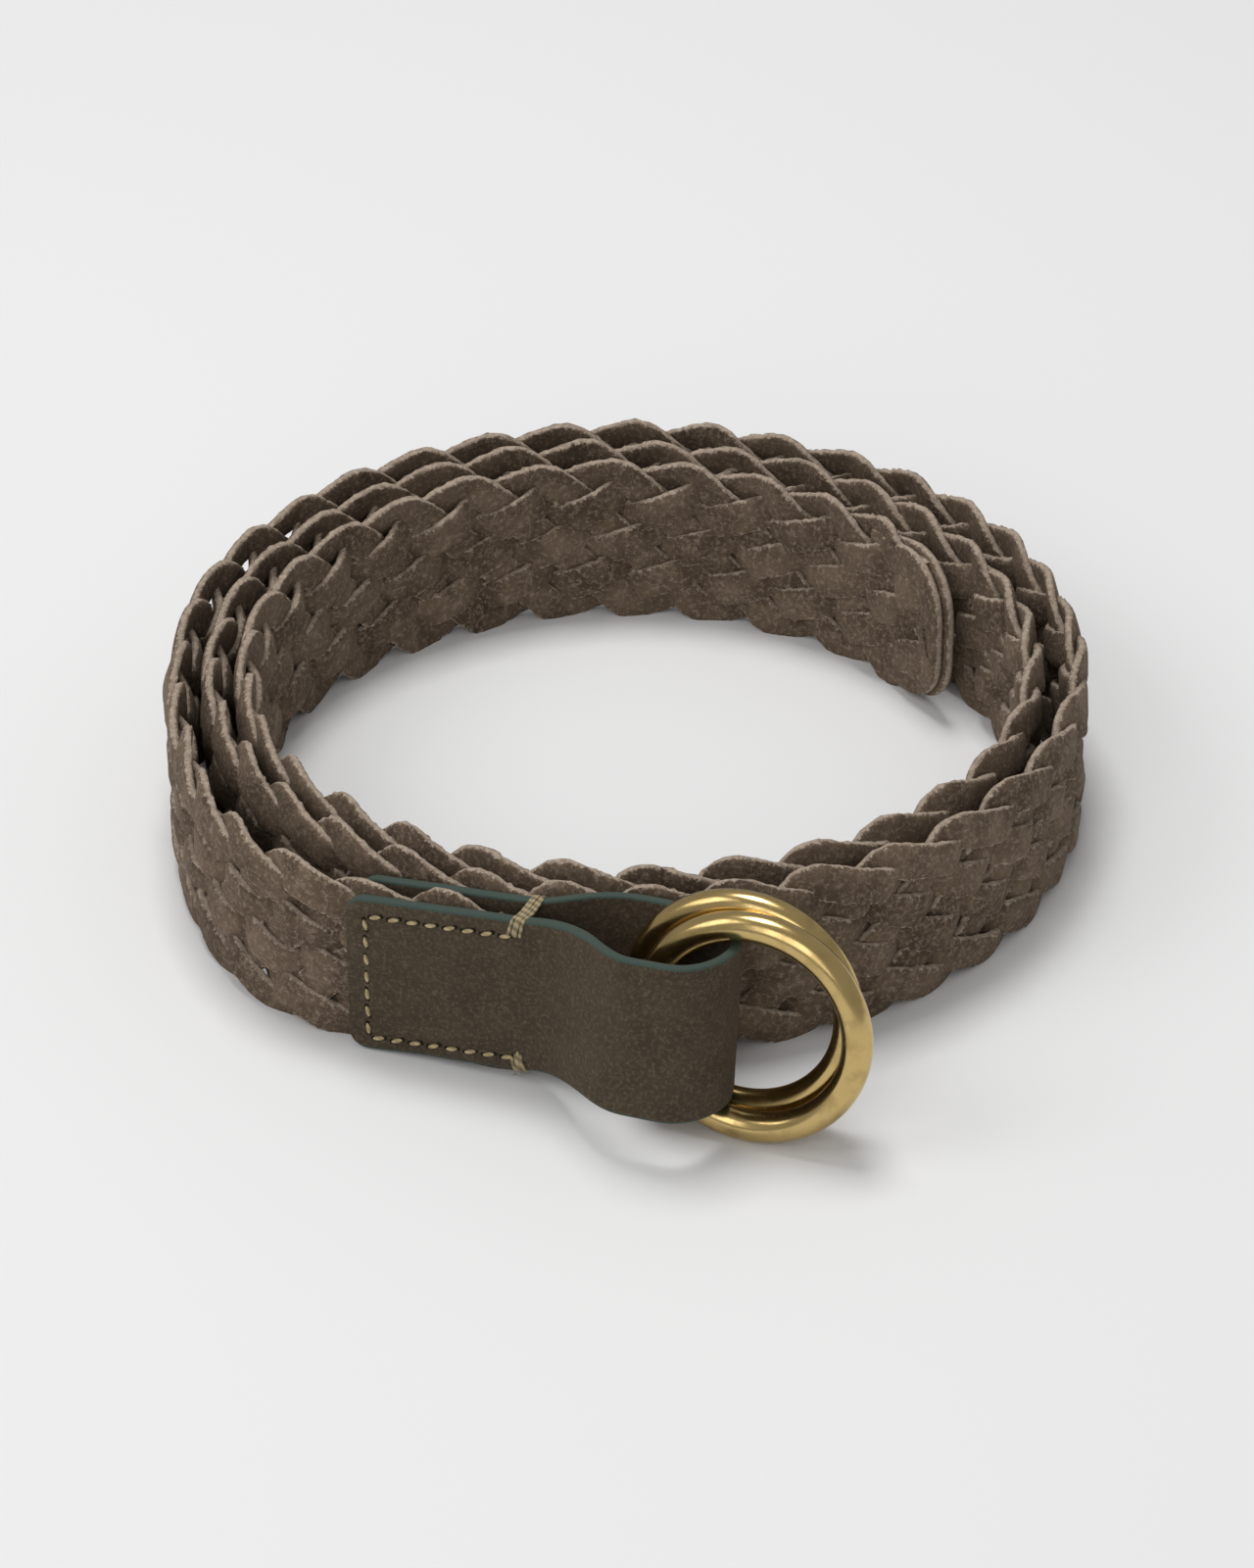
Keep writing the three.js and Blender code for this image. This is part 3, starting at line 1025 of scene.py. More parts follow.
@dataclass
class Plait:
    """The flat plait of eight laces that the strap is made of."""

    line: BeltLine
    finishes: Finishes
    laces: int = 8
    lace_width: float = 6.25
    lace_thickness: float = 1.9
    repeat: float = 13.7
    rise_share: float = 0.735
    lower_edge: float = 1.6
    upper_edge: float = 29.9
    corner_radius: float = 4.1
    over: float = 1.45
    under: float = 0.35
    hold: float = 0.17
    tab_lift: float = -1.7
    cut_drop: float = 1.6
    tip_taper: float = 0.18
    tip_inset: float = 4.0
    end_reach: float = 18.0
    end_radius: float = 12.0
    body_margin: float = 3.0
    squareness: float = 0.55
    step: float = 0.72
    sides: int = 16
    seed: int = 11
    rings: np.ndarray = field(init=False)
    rim: np.ndarray = field(init=False)
    stations: np.ndarray = field(init=False)

    def pattern(self) -> Tuple[np.ndarray, np.ndarray, np.ndarray]:
        """Works out one lace's path over one full repeat, with round corners.

        Returns:
            Station, height and distance outwards along the path.
        """
        period = self.repeat * self.laces
        low, high = self.lower_edge, self.upper_edge
        rise = period * self.rise_share
        corners = np.array([[0.0, low], [rise, high], [period, low], [period + rise, high]])
        legs = [unit(corners[k + 1] - corners[k]) for k in range(3)]
        half_turn = math.acos(float(np.clip(legs[0] @ legs[1], -1, 1))) / 2
        trim = self.corner_radius * math.tan(half_turn)
        path: List[np.ndarray] = []
        progress: List[np.ndarray] = []
        for k in (0, 1):
            start, end = corners[k] + legs[k] * trim, corners[k + 1] - legs[k] * trim
            length = float(np.linalg.norm(corners[k + 1] - corners[k]))
            share = np.linspace(0, 1, 80)
            path.append(start + (end - start) * share[:, None])
            progress.append(k + (trim + share * (length - 2 * trim)) / length)
            leaving = legs[k + 1]
            side = unit(leaving - legs[k])
            centre = corners[k + 1] + side * self.corner_radius / math.cos(half_turn)
            turn = np.linspace(-half_turn, half_turn, 26)[1:-1]
            forward = unit(leaving + legs[k])
            spokes = np.outer(np.cos(turn), -side) + np.outer(np.sin(turn), forward)
            path.append(centre + self.corner_radius * spokes)
            next_length = float(np.linalg.norm(corners[k + 2] - corners[k + 1]))
            shares = [k + 1 - trim / length, k + 1 + trim / next_length]
            progress.append(np.interp(turn, [-half_turn, half_turn], shares))
        points, share = np.concatenate(path), np.concatenate(progress)
        return points[:, 0], points[:, 1], self.lift(share)

    def lift(self, progress: np.ndarray) -> np.ndarray:
        """Gives how far outwards a lace lies, as it passes over one lace and under the next.

        Args:
            progress: 0 to 1 while the lace climbs, and 1 to 2 while it comes down.

        Returns:
            The distance outwards.
        """
        rows = self.laces
        keys, values = [], []
        for row in range(1, rows):
            side = 1.0 if row % 2 else -1.0
            keys += [row / rows, 2 - row / rows]
            values += [side * self.over, -side * self.under]
        order = np.argsort(keys)
        knots = np.array(keys)[order]
        lifts = np.array(values)[order]
        knots = np.concatenate([[knots[-1] - 2], knots, [knots[0] + 2]])
        lifts = np.concatenate([[lifts[-1]], lifts, [lifts[0]]])
        turned = np.mod(progress, 2.0)
        at = np.clip(np.searchsorted(knots, turned, side="right") - 1, 0, len(knots) - 2)
        share = (turned - knots[at]) / (knots[at + 1] - knots[at])
        eased = smooth(share, self.hold, 1 - self.hold)
        return lifts[at] * (1 - eased) + lifts[at + 1] * eased

    def cuts(self) -> List[float]:
        """Lists the stations where the strap is divided: the middles of its CAD bodies."""
        hinges = self.line.hinge_stations()
        middles = [(a + b) / 2 for a, b in zip(hinges, hinges[1:])]
        return [0.0] + middles + [self.line.tip - self.tip_inset]

    def lace_lines(self) -> Tuple[List[np.ndarray], List[np.ndarray]]:
        """Lays every lace along the belt.

        Returns:
            Each lace's points in metres, and the direction its flat side faces at each.
        """
        rng = np.random.default_rng(self.seed)
        cuts = self.cuts()
        grid = [
            np.linspace(a, b, max(2, round((b - a) / self.step)) + 1)[:-1]
            for a, b in zip(cuts, cuts[1:])
        ]
        self.stations = np.concatenate(grid + [[cuts[-1]]])
        s, h, n = self.pattern()
        period = self.repeat * self.laces
        count = len(self.stations)
        lines, faces = [], []
        climb, squeeze = self.in_the_tab()
        middle = self.line.strap.width / 2
        taper = self.tip_taper * smooth(self.stations, cuts[-1] - 14, cuts[-1])
        for lace in range(self.laces):
            phase = np.mod(self.stations - lace * self.repeat - s[0], period) + s[0]
            height = np.interp(phase, s, h, period=period)
            out = np.interp(phase, s, n, period=period)
            height = height + drifting_noise(rng, count, 14, 0.22) + climb
            height = height + (middle - height) * taper
            out = (out + drifting_noise(rng, count, 11, 0.12)) * squeeze
            stations = self.rounded_end(height)
            points = self.line.place(stations, height, out)
            along = unit(np.gradient(points, axis=0))
            roll = drifting_noise(rng, count, 12, 0.16)
            off_middle = height - climb - middle
            curl = smooth(np.abs(off_middle) / middle, 0.62, 0.95)
            roll = roll + np.sign(off_middle) * 0.2 * curl
            face = square_to(along, self.line.facing(stations))
            wide = np.cross(along, face)
            face = face * np.cos(roll)[:, None] + wide * np.sin(roll)[:, None]
            lines.append(points * MM)
            faces.append(face)
        return lines, faces

    def in_the_tab(self) -> Tuple[np.ndarray, np.ndarray]:
        """Works out how the plait climbs and is pressed flat in the tab.

        Returns:
            At each station, how much higher it lies and the share of its thickness that is left.
        """
        tab, strap = self.line.tab, self.line.strap
        along = tab.start - tab.hinge_inset + self.line.hinge_stations()[0] - self.stations
        climb = tab.rise * np.maximum(along - tab.start, 0)
        climb = climb + self.tab_lift * smooth(along, tab.start - 3, tab.start + 2)
        climb = climb - self.cut_drop * smooth(along, -3, 7.5)
        pressed = 1 - strap.pressed / (2 * self.over + self.lace_thickness)
        return climb, 1 - pressed * smooth(along, tab.start - 5, tab.start + 1)

    def rounded_end(self, height: np.ndarray) -> np.ndarray:
        """Draws the laces' cut ends back near the strap's two edges, so that the tip is round.

        Args:
            height: A lace's height at each of the plait's stations.

        Returns:
            The lace's own stations.
        """
        reach, radius = self.end_reach, self.end_radius
        start, end = self.stations[-1] - reach, self.stations[-1]
        middle = self.line.strap.width / 2
        past = np.clip(np.abs(height - middle) - (middle - radius), 0, radius)
        short = (radius - np.sqrt(radius**2 - past**2)) * smooth(self.stations, start - 8, end)
        share = np.clip((self.stations - start) / reach, 0, 1)
        return self.stations - share * short

    def sweep(
        self,
        name: str,
        lines: Sequence[np.ndarray],
        faces: Sequence[np.ndarray],
        tree: bpy.types.NodeTree,
    ) -> bpy.types.Mesh:
        """Sweeps laces of the plait's section along lines.

        Args:
            name: The mesh's name.
            lines: The lines in metres.
            faces: The direction the flat side faces at each point.
            tree: The sweep tree.

        Returns:
            The baked mesh.
        """
        return grow(name, wire_object(lines, {"facing": faces}), tree, {
            "Width": self.lace_width * MM,
            "Thickness": self.lace_thickness * MM,
            "Squareness": self.squareness,
            "Sides": self.sides,
            "Material": self.finishes.braid,
        })

    def build(self, tree: bpy.types.NodeTree) -> None:
        """Sweeps the laces along the whole belt and keeps their rings of vertices.

        Args:
            tree: The sweep tree.
        """
        lines, faces = self.lace_lines()
        mesh = self.sweep("laces", lines, faces, tree)
        count = len(mesh.vertices)
        points, order, rim = np.empty(count * 3), np.empty(count), np.empty(count)
        mesh.vertices.foreach_get("co", points)
        mesh.attributes["order"].data.foreach_get("value", order)
        mesh.attributes[Mask.RIM.value].data.foreach_get("value", rim)
        bpy.data.meshes.remove(mesh)
        ranked = np.argsort(order, kind="stable")
        shape = (self.laces, len(self.stations), self.sides)
        self.rings = points.reshape(-1, 3)[ranked].reshape(*shape, 3) / MM
        self.rim = rim[ranked].reshape(shape)
        rng = np.random.default_rng(self.seed + 1)
        spread = self.rings - self.rings.mean(2, keepdims=True)
        rough = 1 + rng.normal(0, 0.018, shape) + 0.03 * rng.normal(0, 1, shape) * (self.rim > 0.85)
        self.rings = self.rings.mean(2, keepdims=True) + spread * rough[..., None]

    def section(self, name: str, first: float, last: float) -> bpy.types.Object:
        """Makes one length of the strap as a closed mesh of eight laces.

        Args:
            name: The piece's name.
            first: Station where it starts.
            last: Station where it ends.

        Returns:
            The piece.
        """
        low, high = np.searchsorted(self.stations, [first - 1e-6, last - 1e-6])
        rings = self.rings[:, low:high + 1]
        rim = self.rim[:, low:high + 1]
        rows = rings.shape[1]
        flip = turns_inside_out(rings[0])
        faces: List[List[int]] = []
        for lace in range(self.laces):
            faces += tube_faces(rows, self.sides, lace * rows * self.sides, flip)
        tones = np.random.default_rng(self.seed + 2).uniform(-0.12, 0.2, self.laces)
        tone = np.broadcast_to(tones[:, None, None], rim.shape)
        masks = {Mask.RIM: rim, Mask.TONE: tone}
        return mesh_object(name, rings, faces, masks, self.finishes.braid)

    def assemble(self) -> None:
        """Divides the strap at its bodies into lengths and hides the CAD parts that they stand for.
        """
        cuts = self.cuts()
        hinges = self.line.hinge_stations()
        bodies = frame["record"]["behaviour"]["bodies"]
        names = ["tab"] + sorted(body for body in bodies if body.startswith("strap_"))
        for index in range(len(hinges)):
            piece = self.section(f"braid_{index + 1:02d}", cuts[index], cuts[index + 1])
            before, after = names[index], names[index + 1]
            margin = self.body_margin
            from_station = cuts[index] + margin if index else hinges[0] - margin
            stations = (from_station, cuts[index + 1] - margin)
            start, end = (
                Vector(self.line.place(np.array(s), np.array(MID_HEIGHT), np.array(0.0)) * MM)
                for s in stations
            )
            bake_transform(piece)
            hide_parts(*bodies[after])
            if index == 0:
                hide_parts("braid_end")
            log.info("%s: %d faces, %s to %s", piece.name, len(piece.data.polygons), before, after)


@dataclass(frozen=True)
class TipLoop:
    """One lace that turns round at the strap's tip."""

    out: float
    back: float
    reach: float
    low: float


@dataclass
class TipBinding:
    """The laces that turn round at the strap's tip and are woven back."""

    line: BeltLine
    plait: Plait
    radius: float = 8.0
    lean: float = 0.16
    top_inset: float = 1.2
    tone: float = 0.05
    loops: Tuple[TipLoop, ...] = (TipLoop(0.95, 19.0, 0.0, 0.9), TipLoop(-0.95, 15.0, -0.7, 1.4))

    def build(self, tree: bpy.types.NodeTree) -> None:
        """Sweeps the two turned laces and gives them to the last body of the strap.

        Args:
            tree: The sweep tree.
        """
        inset = self.plait.lace_width / 2
        top = self.plait.upper_edge - self.top_inset
        lines, faces = [], []
        for loop in self.loops:
            tip = self.line.tip - inset + loop.reach
            station, height = self.turned_back(tip, inset + loop.low, top - loop.low, loop.back)
            share = np.linspace(0, 6, len(station))
            fall = smooth(share, 0.0, 1.4) * (1 - smooth(share, 4.8, 6.0))
            lift = loop.out * fall + 0.25 * loop.out * (1 - fall)
            points = self.line.place(station, height, lift)
            along = unit(np.gradient(points, axis=0))
            lines.append(points * MM)
            faces.append(square_to(along, self.line.facing(station)))
        mesh = self.plait.sweep("tip_binding", lines, faces, tree)
        tidy_baked(mesh)
        piece = link_object("tip_binding", mesh)
        set_values(mesh, Mask.TONE.value, np.full(len(mesh.vertices), self.tone))
        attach(piece, sorted(b for b in frame["bodies"] if b.startswith("strap_"))[-1])
        log.info("tip_binding: %d faces", len(mesh.polygons))

    def turned_back(
        self,
        tip: float,
        low: float,
        high: float,
        back: float,
    ) -> Tuple[np.ndarray, np.ndarray]:
        """Runs a lace along the upper edge, down the strap's end and back along the lower edge.

        Args:
            tip: Station of the strap's end.
            low: Height of the lower run.
            high: Height of the upper run.
            back: How far the runs reach back.

        Returns:
            The path's stations and heights.
        """
        radius = self.radius
        turn = np.linspace(0, math.pi / 2, 14)
        run = np.linspace(back, radius, 24)[:-1]
        fall = self.lean * run
        upper = np.stack([tip - run, high - fall + self.lean * radius], 1)
        rise, fade = radius * np.sin(turn), radius * np.cos(turn)
        first = np.stack([tip - radius + rise, high - radius + fade], 1)
        down = np.stack([np.full(20, tip), np.linspace(high - radius, low + radius, 22)[1:-1]], 1)
        second = np.stack([tip - radius + fade, low + radius - rise], 1)
        lower = np.stack([tip - run, low + fall - self.lean * radius], 1)[::-1]
        path = np.concatenate([upper, first, down, second, lower])
        return path[:, 0], path[:, 1]


def tidy_baked(mesh: bpy.types.Mesh) -> None:
    """Shades a baked mesh smooth, but hard at its end faces, and drops its helper attributes.

    Args:
        mesh: The baked mesh.
    """
    for label in ("order", "facing", "along"):
        if label in mesh.attributes:
            mesh.attributes.remove(mesh.attributes[label])
    shade_smoothly(mesh)


@dataclass
class Tab:
    """The folded suede tab: two sewn leaves and the loop round the rings, in one strip."""

    line: BeltLine
    ring: RingSizes
    finishes: Finishes
    front_bulge: float = 14.5
    rear_bulge: float = 6.4
    fold_reach: float = 9.0
    edge_steps: int = 4
    across: int = 44
    step: float = 0.65
    seam_low: float = 2.4
    seam_high: float = 3.3
    seam_end: float = 3.3
    pucker_depth: float = 0.22
    pucker_reach: float = 1.1
    end_paint: float = 0.45
    seed: int = 5

    def __post_init__(self) -> None:
        """Works out the places that follow from the sizes."""
        tab, ring = self.line.tab, self.ring
        self.middle = self.line.leaf_inside + tab.leaf / 2
        self.ring_radius = (ring.inside + ring.wire) / 2
        self.loop_start = self.line.tab_end + tab.neck
        ring_outside = self.ring_radius + ring.wire / 2
        self.front_ring = self.loop_start + tab.shoulder + ring.stagger + ring_outside
        self.ring_height = self.ring_radius * math.cos(math.radians(ring.lean)) + ring.wire / 2
        self.leaf_height = self.line.strap.width - tab.edge_inset
        self.loop_height = ring.inside - 2 * ring.to_loop_edge
        self.fold_end = self.front_ring - ring.to_fold - tab.leaf / 2

    def bottom(self, along: Any) -> Any:
        """Gives the height of a leaf's lower edge."""
        return self.line.tab.rise * (np.asarray(along) - self.line.tab.start)

    def top(self, along: Any) -> Any:
        """Gives the height of a leaf's upper edge."""
        return self.leaf_height + self.bottom(along) * (self.loop_height / self.leaf_height)

    def plan(self) -> np.ndarray:
        """Traces the strip from above, from the front leaf's end round the fold to the rear leaf's.

        Returns:
            Distance along the tab and distance outwards, evenly spaced.
        """
        start, neck = self.line.tab.start, self.line.tab_end
        fold_from = self.fold_end - self.fold_reach
        front_a = np.linspace(start, fold_from, 300)
        front_swell = smooth(front_a, neck - 0.5, neck + 20.0)
        front_y = self.middle + (self.front_bulge - self.middle) * front_swell
        rear_a = np.linspace(fold_from, start, 300)
        rear_swell = smooth(rear_a, neck - 1.5, neck + 13.5)
        rear_y = -self.middle - (self.rear_bulge - self.middle) * rear_swell
        turn = np.linspace(math.pi / 2, -math.pi / 2, 120)[1:-1]
        centre = (self.front_bulge - self.rear_bulge) / 2
        half = (self.front_bulge + self.rear_bulge) / 2
        fold_a = fold_from + self.fold_reach * np.abs(np.cos(turn)) ** 0.9
        fold_y = centre + half * np.sign(np.sin(turn)) * np.abs(np.sin(turn)) ** 1.05
        runs = [
            np.concatenate([front_a, fold_a, rear_a]),
            np.concatenate([front_y, fold_y, rear_y]),
        ]
        window = np.hanning(25)
        window /= window.sum()
        padded = [np.pad(run, 12, "reflect", reflect_type="odd") for run in runs]
        eased = np.stack([np.convolve(run, window, "valid") for run in padded], 1)
        steps = np.linalg.norm(np.diff(eased, axis=0), axis=1)
        length = np.concatenate([[0], np.cumsum(steps)])
        ends = np.array([0.05, 0.15, 0.35, 0.6, 0.9, 1.3, 1.8, 2.4])
        middle = np.linspace(3.0, length[-1] - 3.0, round((length[-1] - 6.0) / self.step))
        at = np.concatenate([[0.0], ends, middle, length[-1] - ends[::-1], [length[-1]]])
        return np.stack([np.interp(at, length, eased[:, k]) for k in (0, 1)], 1)

    def stand(self, along: np.ndarray, out: np.ndarray, share: np.ndarray) -> np.ndarray:
        """Places points of the strip, upright where it is sewn and leaning at the loop.

        Args:
            along: Distance along the tab.
            out: Distance outwards.
            share: Height across the strip, 0 at the lower edge and 1 at the upper.

        Returns:
            The points in the row frame, in millimetres.
        """
        tab = self.line.tab
        near = np.clip(along - tab.start, 0, tab.corner)
        corner = tab.corner - np.sqrt(np.maximum(tab.corner**2 - (tab.corner - near) ** 2, 0))
        low, high = self.bottom(along) + corner, self.top(along) - corner
        upright = low + (high - low) * share
        lean = math.radians(self.ring.lean)
        level = (share - 0.5) * self.loop_height
        leaning_out = out * math.cos(lean) - level * math.sin(lean)
        leaning_height = self.ring_height + level * math.cos(lean) + out * math.sin(lean)
        loop = smooth(along, self.line.tab_end - 2.5, self.line.tab_end + 13.0)
        height = upright + (leaning_height - upright) * loop
        return self.line.tab_place(along, out + (leaning_out - out) * loop, height)

    def section_shape(self) -> Tuple[np.ndarray, np.ndarray, np.ndarray]:
        """Draws the strip's cross-section.

        Returns:
            Share across the width, distance from the middle and how far each point is an edge.
        """
        half = self.line.tab.leaf / 2
        edge = 0.6 / self.leaf_height
        share = np.linspace(edge, 1 - edge, self.across)
        turn = np.linspace(math.pi / 2, -math.pi / 2, self.edge_steps + 4)[1:-1]
        over = 1 - edge + edge * np.cos(turn) ** 0.7
        side = half * np.sign(np.sin(turn)) * np.abs(np.sin(turn)) ** 0.7
        shares = np.concatenate([share, over, share[::-1], 1 - over])
        face = np.full(self.across, half)
        sides = np.concatenate([face, side, -face, -side])
        flat = np.zeros(self.across)
        flat[[0, -1]] = 0.35
        edges = np.concatenate([flat, np.ones_like(turn), flat, np.ones_like(turn)])
        return shares, sides, edges

    def build(self) -> None:
        """Makes the strip and hides the CAD leaves and loop that it stands for."""
        plan = self.plan()
        shares, sides, edges = self.section_shape()
        rng = np.random.default_rng(self.seed)
        tangent = unit(np.gradient(plan, axis=0))
        normal = np.stack([-tangent[:, 1], tangent[:, 0]], 1)
        rows, count = len(plan), len(shares)
        along = plan[:, :1] + normal[:, :1] * sides
        out = plan[:, 1:] + normal[:, 1:] * sides
        out = out + normal[:, 1:] * self.waves(rng, plan[:, :1], shares)
        share = np.broadcast_to(shares, out.shape)
        sewn = np.abs(plan[:, 1:]) < self.middle + 0.8
        sink = self.pucker(plan[:, :1], share) * sewn
        out = out - np.sign(sides) * np.sign(normal[:, 1:]) * sink
        points = self.stand(along, out, share)
        faces = tube_faces(rows, count, 0, turns_inside_out(points))
        paint = np.broadcast_to(edges, out.shape).copy()
        paint[[0, -1]] = self.end_paint
        plain = np.zeros(paint.shape)
        masks = {Mask.PAINT: paint, Mask.TONE: plain, Mask.RIM: plain}
        piece = mesh_object("tab_suede", points, faces, masks, self.finishes.tab)
        start, end = (
            Vector(self.line.tab_place(place, 0.0, MID_HEIGHT) * MM)
            for place in (self.line.tab_end, self.loop_start)
        )
        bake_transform(piece)
        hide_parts("tab_leaf_front", "tab_leaf_back", "tab_loop")
        log.info("tab_suede: %d faces", len(piece.data.polygons))

    @staticmethod
    def waves(rng: np.random.Generator, along: np.ndarray, share: np.ndarray) -> np.ndarray:
        """Gives the suede's slight unevenness.

        Args:
            rng: The seeded source.
            along: Distance along the tab.
            share: Height across the strip.

        Returns:
            How far each point is moved, in millimetres.
        """
        total = 0.0
        for _ in range(5):
            size, pace, slant = rng.uniform(0.03, 0.09), rng.uniform(0.15, 0.5), rng.uniform(-9, 9)
            total = total + size * np.sin(pace * along + slant * share + rng.uniform(0, 6))
        return total

    def pucker(self, along: np.ndarray, share: np.ndarray) -> np.ndarray:
        """Gives how deep the seam draws the suede in at a point of a leaf.

        Args:
            along: Distance along the tab.
            share: Height across the strip.

        Returns:
            The depth, in millimetres.
        """
        height = self.bottom(along) + share * (self.top(along) - self.bottom(along))
        right = self.line.tab_end - self.line.tab.tack
        left = self.line.tab.start + self.seam_end
        low, high = self.bottom(along) + self.seam_low, self.top(along) - self.seam_high
        in_row = (along > left - 1) & (along < right)
        far = 9.0
        to_rows = np.minimum(np.abs(height - low), np.abs(height - high)) + far * ~in_row
        in_column = (height > low - 1) & (height < high + 1)
        to_column = np.abs(along - left) + far * ~in_column
        nearest = np.minimum(to_rows, to_column)
        return self.pucker_depth * np.exp(-((nearest / self.pucker_reach) ** 2))


@dataclass
class Sewing:
    """The seam's stitches on both leaves and the bar tacks at the neck."""

    line: BeltLine
    tab: Tab
    finishes: Finishes
    row_stitches: int = 8
    column_stitches: int = 7
    stitch_share: float = 0.52
    thread: float = 0.72
    hole: float = 0.85
    stitch_sink: float = 0.12
    stitch_tilt: float = 0.34
    wraps: int = 5
    wrap_thread: float = 0.6
    hairs: int = 7
    hair_thread: float = 0.12
    seed: int = 23

    def stitch_points(self, side: float) -> Tuple[np.ndarray, np.ndarray, np.ndarray]:
        """Lists the stitches of one leaf.

        Args:
            side: 1 for the front leaf and -1 for the rear one.

        Returns:
            Each stitch's middle in metres, its direction and the way its leaf faces.
        """
        left = self.line.tab.start + self.tab.seam_end
        right = self.line.tab_end - self.line.tab.tack - 0.6
        pitch = (right - left) / self.row_stitches
        middles = left + pitch * (np.arange(self.row_stitches) + 0.55)
        surface = side * (self.line.leaf_outside - self.stitch_sink)
        points, along = [], []
        rows = ((self.tab.bottom, self.tab.seam_low), (self.tab.top, -self.tab.seam_high))
        for edge, inset in rows:
            for a in middles:
                points.append(self.line.tab_place(a, surface, edge(a) + inset))
                slope = float(edge(a + 0.5) - edge(a - 0.5))
                along.append(self.line.tab_direction(1.0, 0.0, slope))
        low = float(self.tab.bottom(left)) + self.tab.seam_low
        high = float(self.tab.top(left)) - self.tab.seam_high
        for k in range(self.column_stitches):
            z = low + (high - low) * (k + 0.5) / self.column_stitches
            points.append(self.line.tab_place(left, surface, z))
            along.append(self.line.tab_direction(0.0, 0.0, 1.0))
        facing = np.tile(self.line.tab_direction(0.0, side, 0.0), (len(points), 1))
        return np.array(points) * MM, unit(np.array(along)), facing

    def build_stitches(self, tree: bpy.types.NodeTree) -> None:
        """Sews both leaves.

        Args:
            tree: The stitch tree.
        """
        leaves = (
            ("stitches_front", "seam_thread_front", 1.0),
            ("stitches_rear", "seam_thread_back", -1.0),
        )
        pitch = self.line.tab.sewn_length / self.row_stitches
        for index, (name, node, side) in enumerate(leaves):
            points, along, facing = (list(rows[:, None]) for rows in self.stitch_points(side))
            base = wire_object(points, {"along": along, "facing": facing})
            mesh = grow(name, base, tree, {
                "Length": pitch * self.stitch_share * MM,
                "Thickness": self.thread * MM,
                "Hole": self.hole * MM,
                "Tilt": self.stitch_tilt * side,
                "Seed": self.seed + index,
                "Thread": self.finishes.thread,
                "Hole Shade Material": self.finishes.hole,
            })
            self.keep(name, mesh, node)

    @staticmethod
    def keep(name: str, mesh: bpy.types.Mesh, node: str) -> None:
        """Gives a baked thread mesh to the tab's body.

        Args:
            name: The piece's name.
            mesh: Its baked mesh.
            node: The CAD node that it stands for.
        """
        tidy_baked(mesh)
        piece = link_object(name, mesh)
        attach(piece, "tab")
        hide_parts(node)
        log.info("%s: %d faces", name, len(mesh.polygons))

    def wrap_line(self, rng: np.random.Generator, share: float, side: float) -> np.ndarray:
        """Runs one wrap of a bar tack from the front face over both leaves' edges to the rear face.

        Args:
            rng: The seeded source.
            share: Where the wrap lies across the tack, 0 to 1.
            side: 1 for the upper edge and -1 for the lower.

        Returns:
            The wrap's points in the row frame, in millimetres.
        """
        middle = self.line.tab_end - self.line.tab.tack + 0.3
        along = middle + (share - 0.5) * self.line.tab.tack * 0.75
        leg = 3.1 + rng.uniform(-0.5, 0.4)
        reach = self.line.leaf_outside + 0.12
        edge = 0.15 + rng.uniform(0.0, 0.25)
        slack = rng.uniform(-0.25, 0.25)
        drawn = np.array([
            [along - 0.7, reach - 0.45, -leg],
            [along - 0.5, reach + 0.15, -leg + 0.5],
            [along - 0.2, reach + 0.12, -0.9],
            [along, reach - 0.35, edge],
            [along + 0.3 + slack, reach * 0.45, edge - 0.35],
            [along + 0.5 + slack, -reach * 0.4, edge - 0.2],
            [along + 0.7, -reach + 0.35, edge],
            [along + 0.8, -reach - 0.12, -0.9],
            [along + 0.6, -reach - 0.15, -leg + 0.5],
            [along + 0.4, -reach + 0.45, -leg],
        ])
        drawn[:, 0] += np.linspace(0, 0.5, len(drawn)) * (share - 0.5)
        drawn[:, 0] += np.linspace(-0.5, 0.5, len(drawn)) * rng.uniform(-1.8, 1.8)
        dense = np.linspace(0, len(drawn) - 1, 44)
        knots = np.arange(len(drawn))
        line = np.stack([np.interp(dense, knots, drawn[:, k]) for k in range(3)], 1)
        window = np.array([0.25, 0.5, 0.25])
        for _ in range(4):
            line[1:-1] = np.stack([np.convolve(line[:, k], window, "valid") for k in range(3)], 1)
        height = self.edge_height(line[:, 0], side) + side * line[:, 2]
        return self.line.tab_place(line[:, 0], line[:, 1], height)

    def edge_height(self, along: np.ndarray, side: float) -> np.ndarray:
        """Gives the height of the upper edge, for side 1, or of the lower, for side -1."""
        return self.tab.top(along) if side > 0 else self.tab.bottom(along)

    def build_tacks(self, tree: bpy.types.NodeTree) -> None:
        """Wraps the two bar tacks.

        Args:
            tree: The sweep tree.
        """
        for index, (name, side) in enumerate((("bar_tack_top", 1.0), ("bar_tack_bottom", -1.0))):
            rng = np.random.default_rng(self.seed + 7 + index)
            wraps = []
            for k in range(self.wraps):
                share = (k + rng.uniform(0.2, 0.8)) / self.wraps
                wraps.append(self.wrap_line(rng, share, side))
            hairs = [self.frayed_end(rng, side) for _ in range(self.hairs)]
            thick = self.spun("wraps", wraps, self.wrap_thread, tree)
            thin = self.spun("hairs", hairs, self.hair_thread, tree)
            self.keep(f"{name}_thread", joined(thick, thin), name)

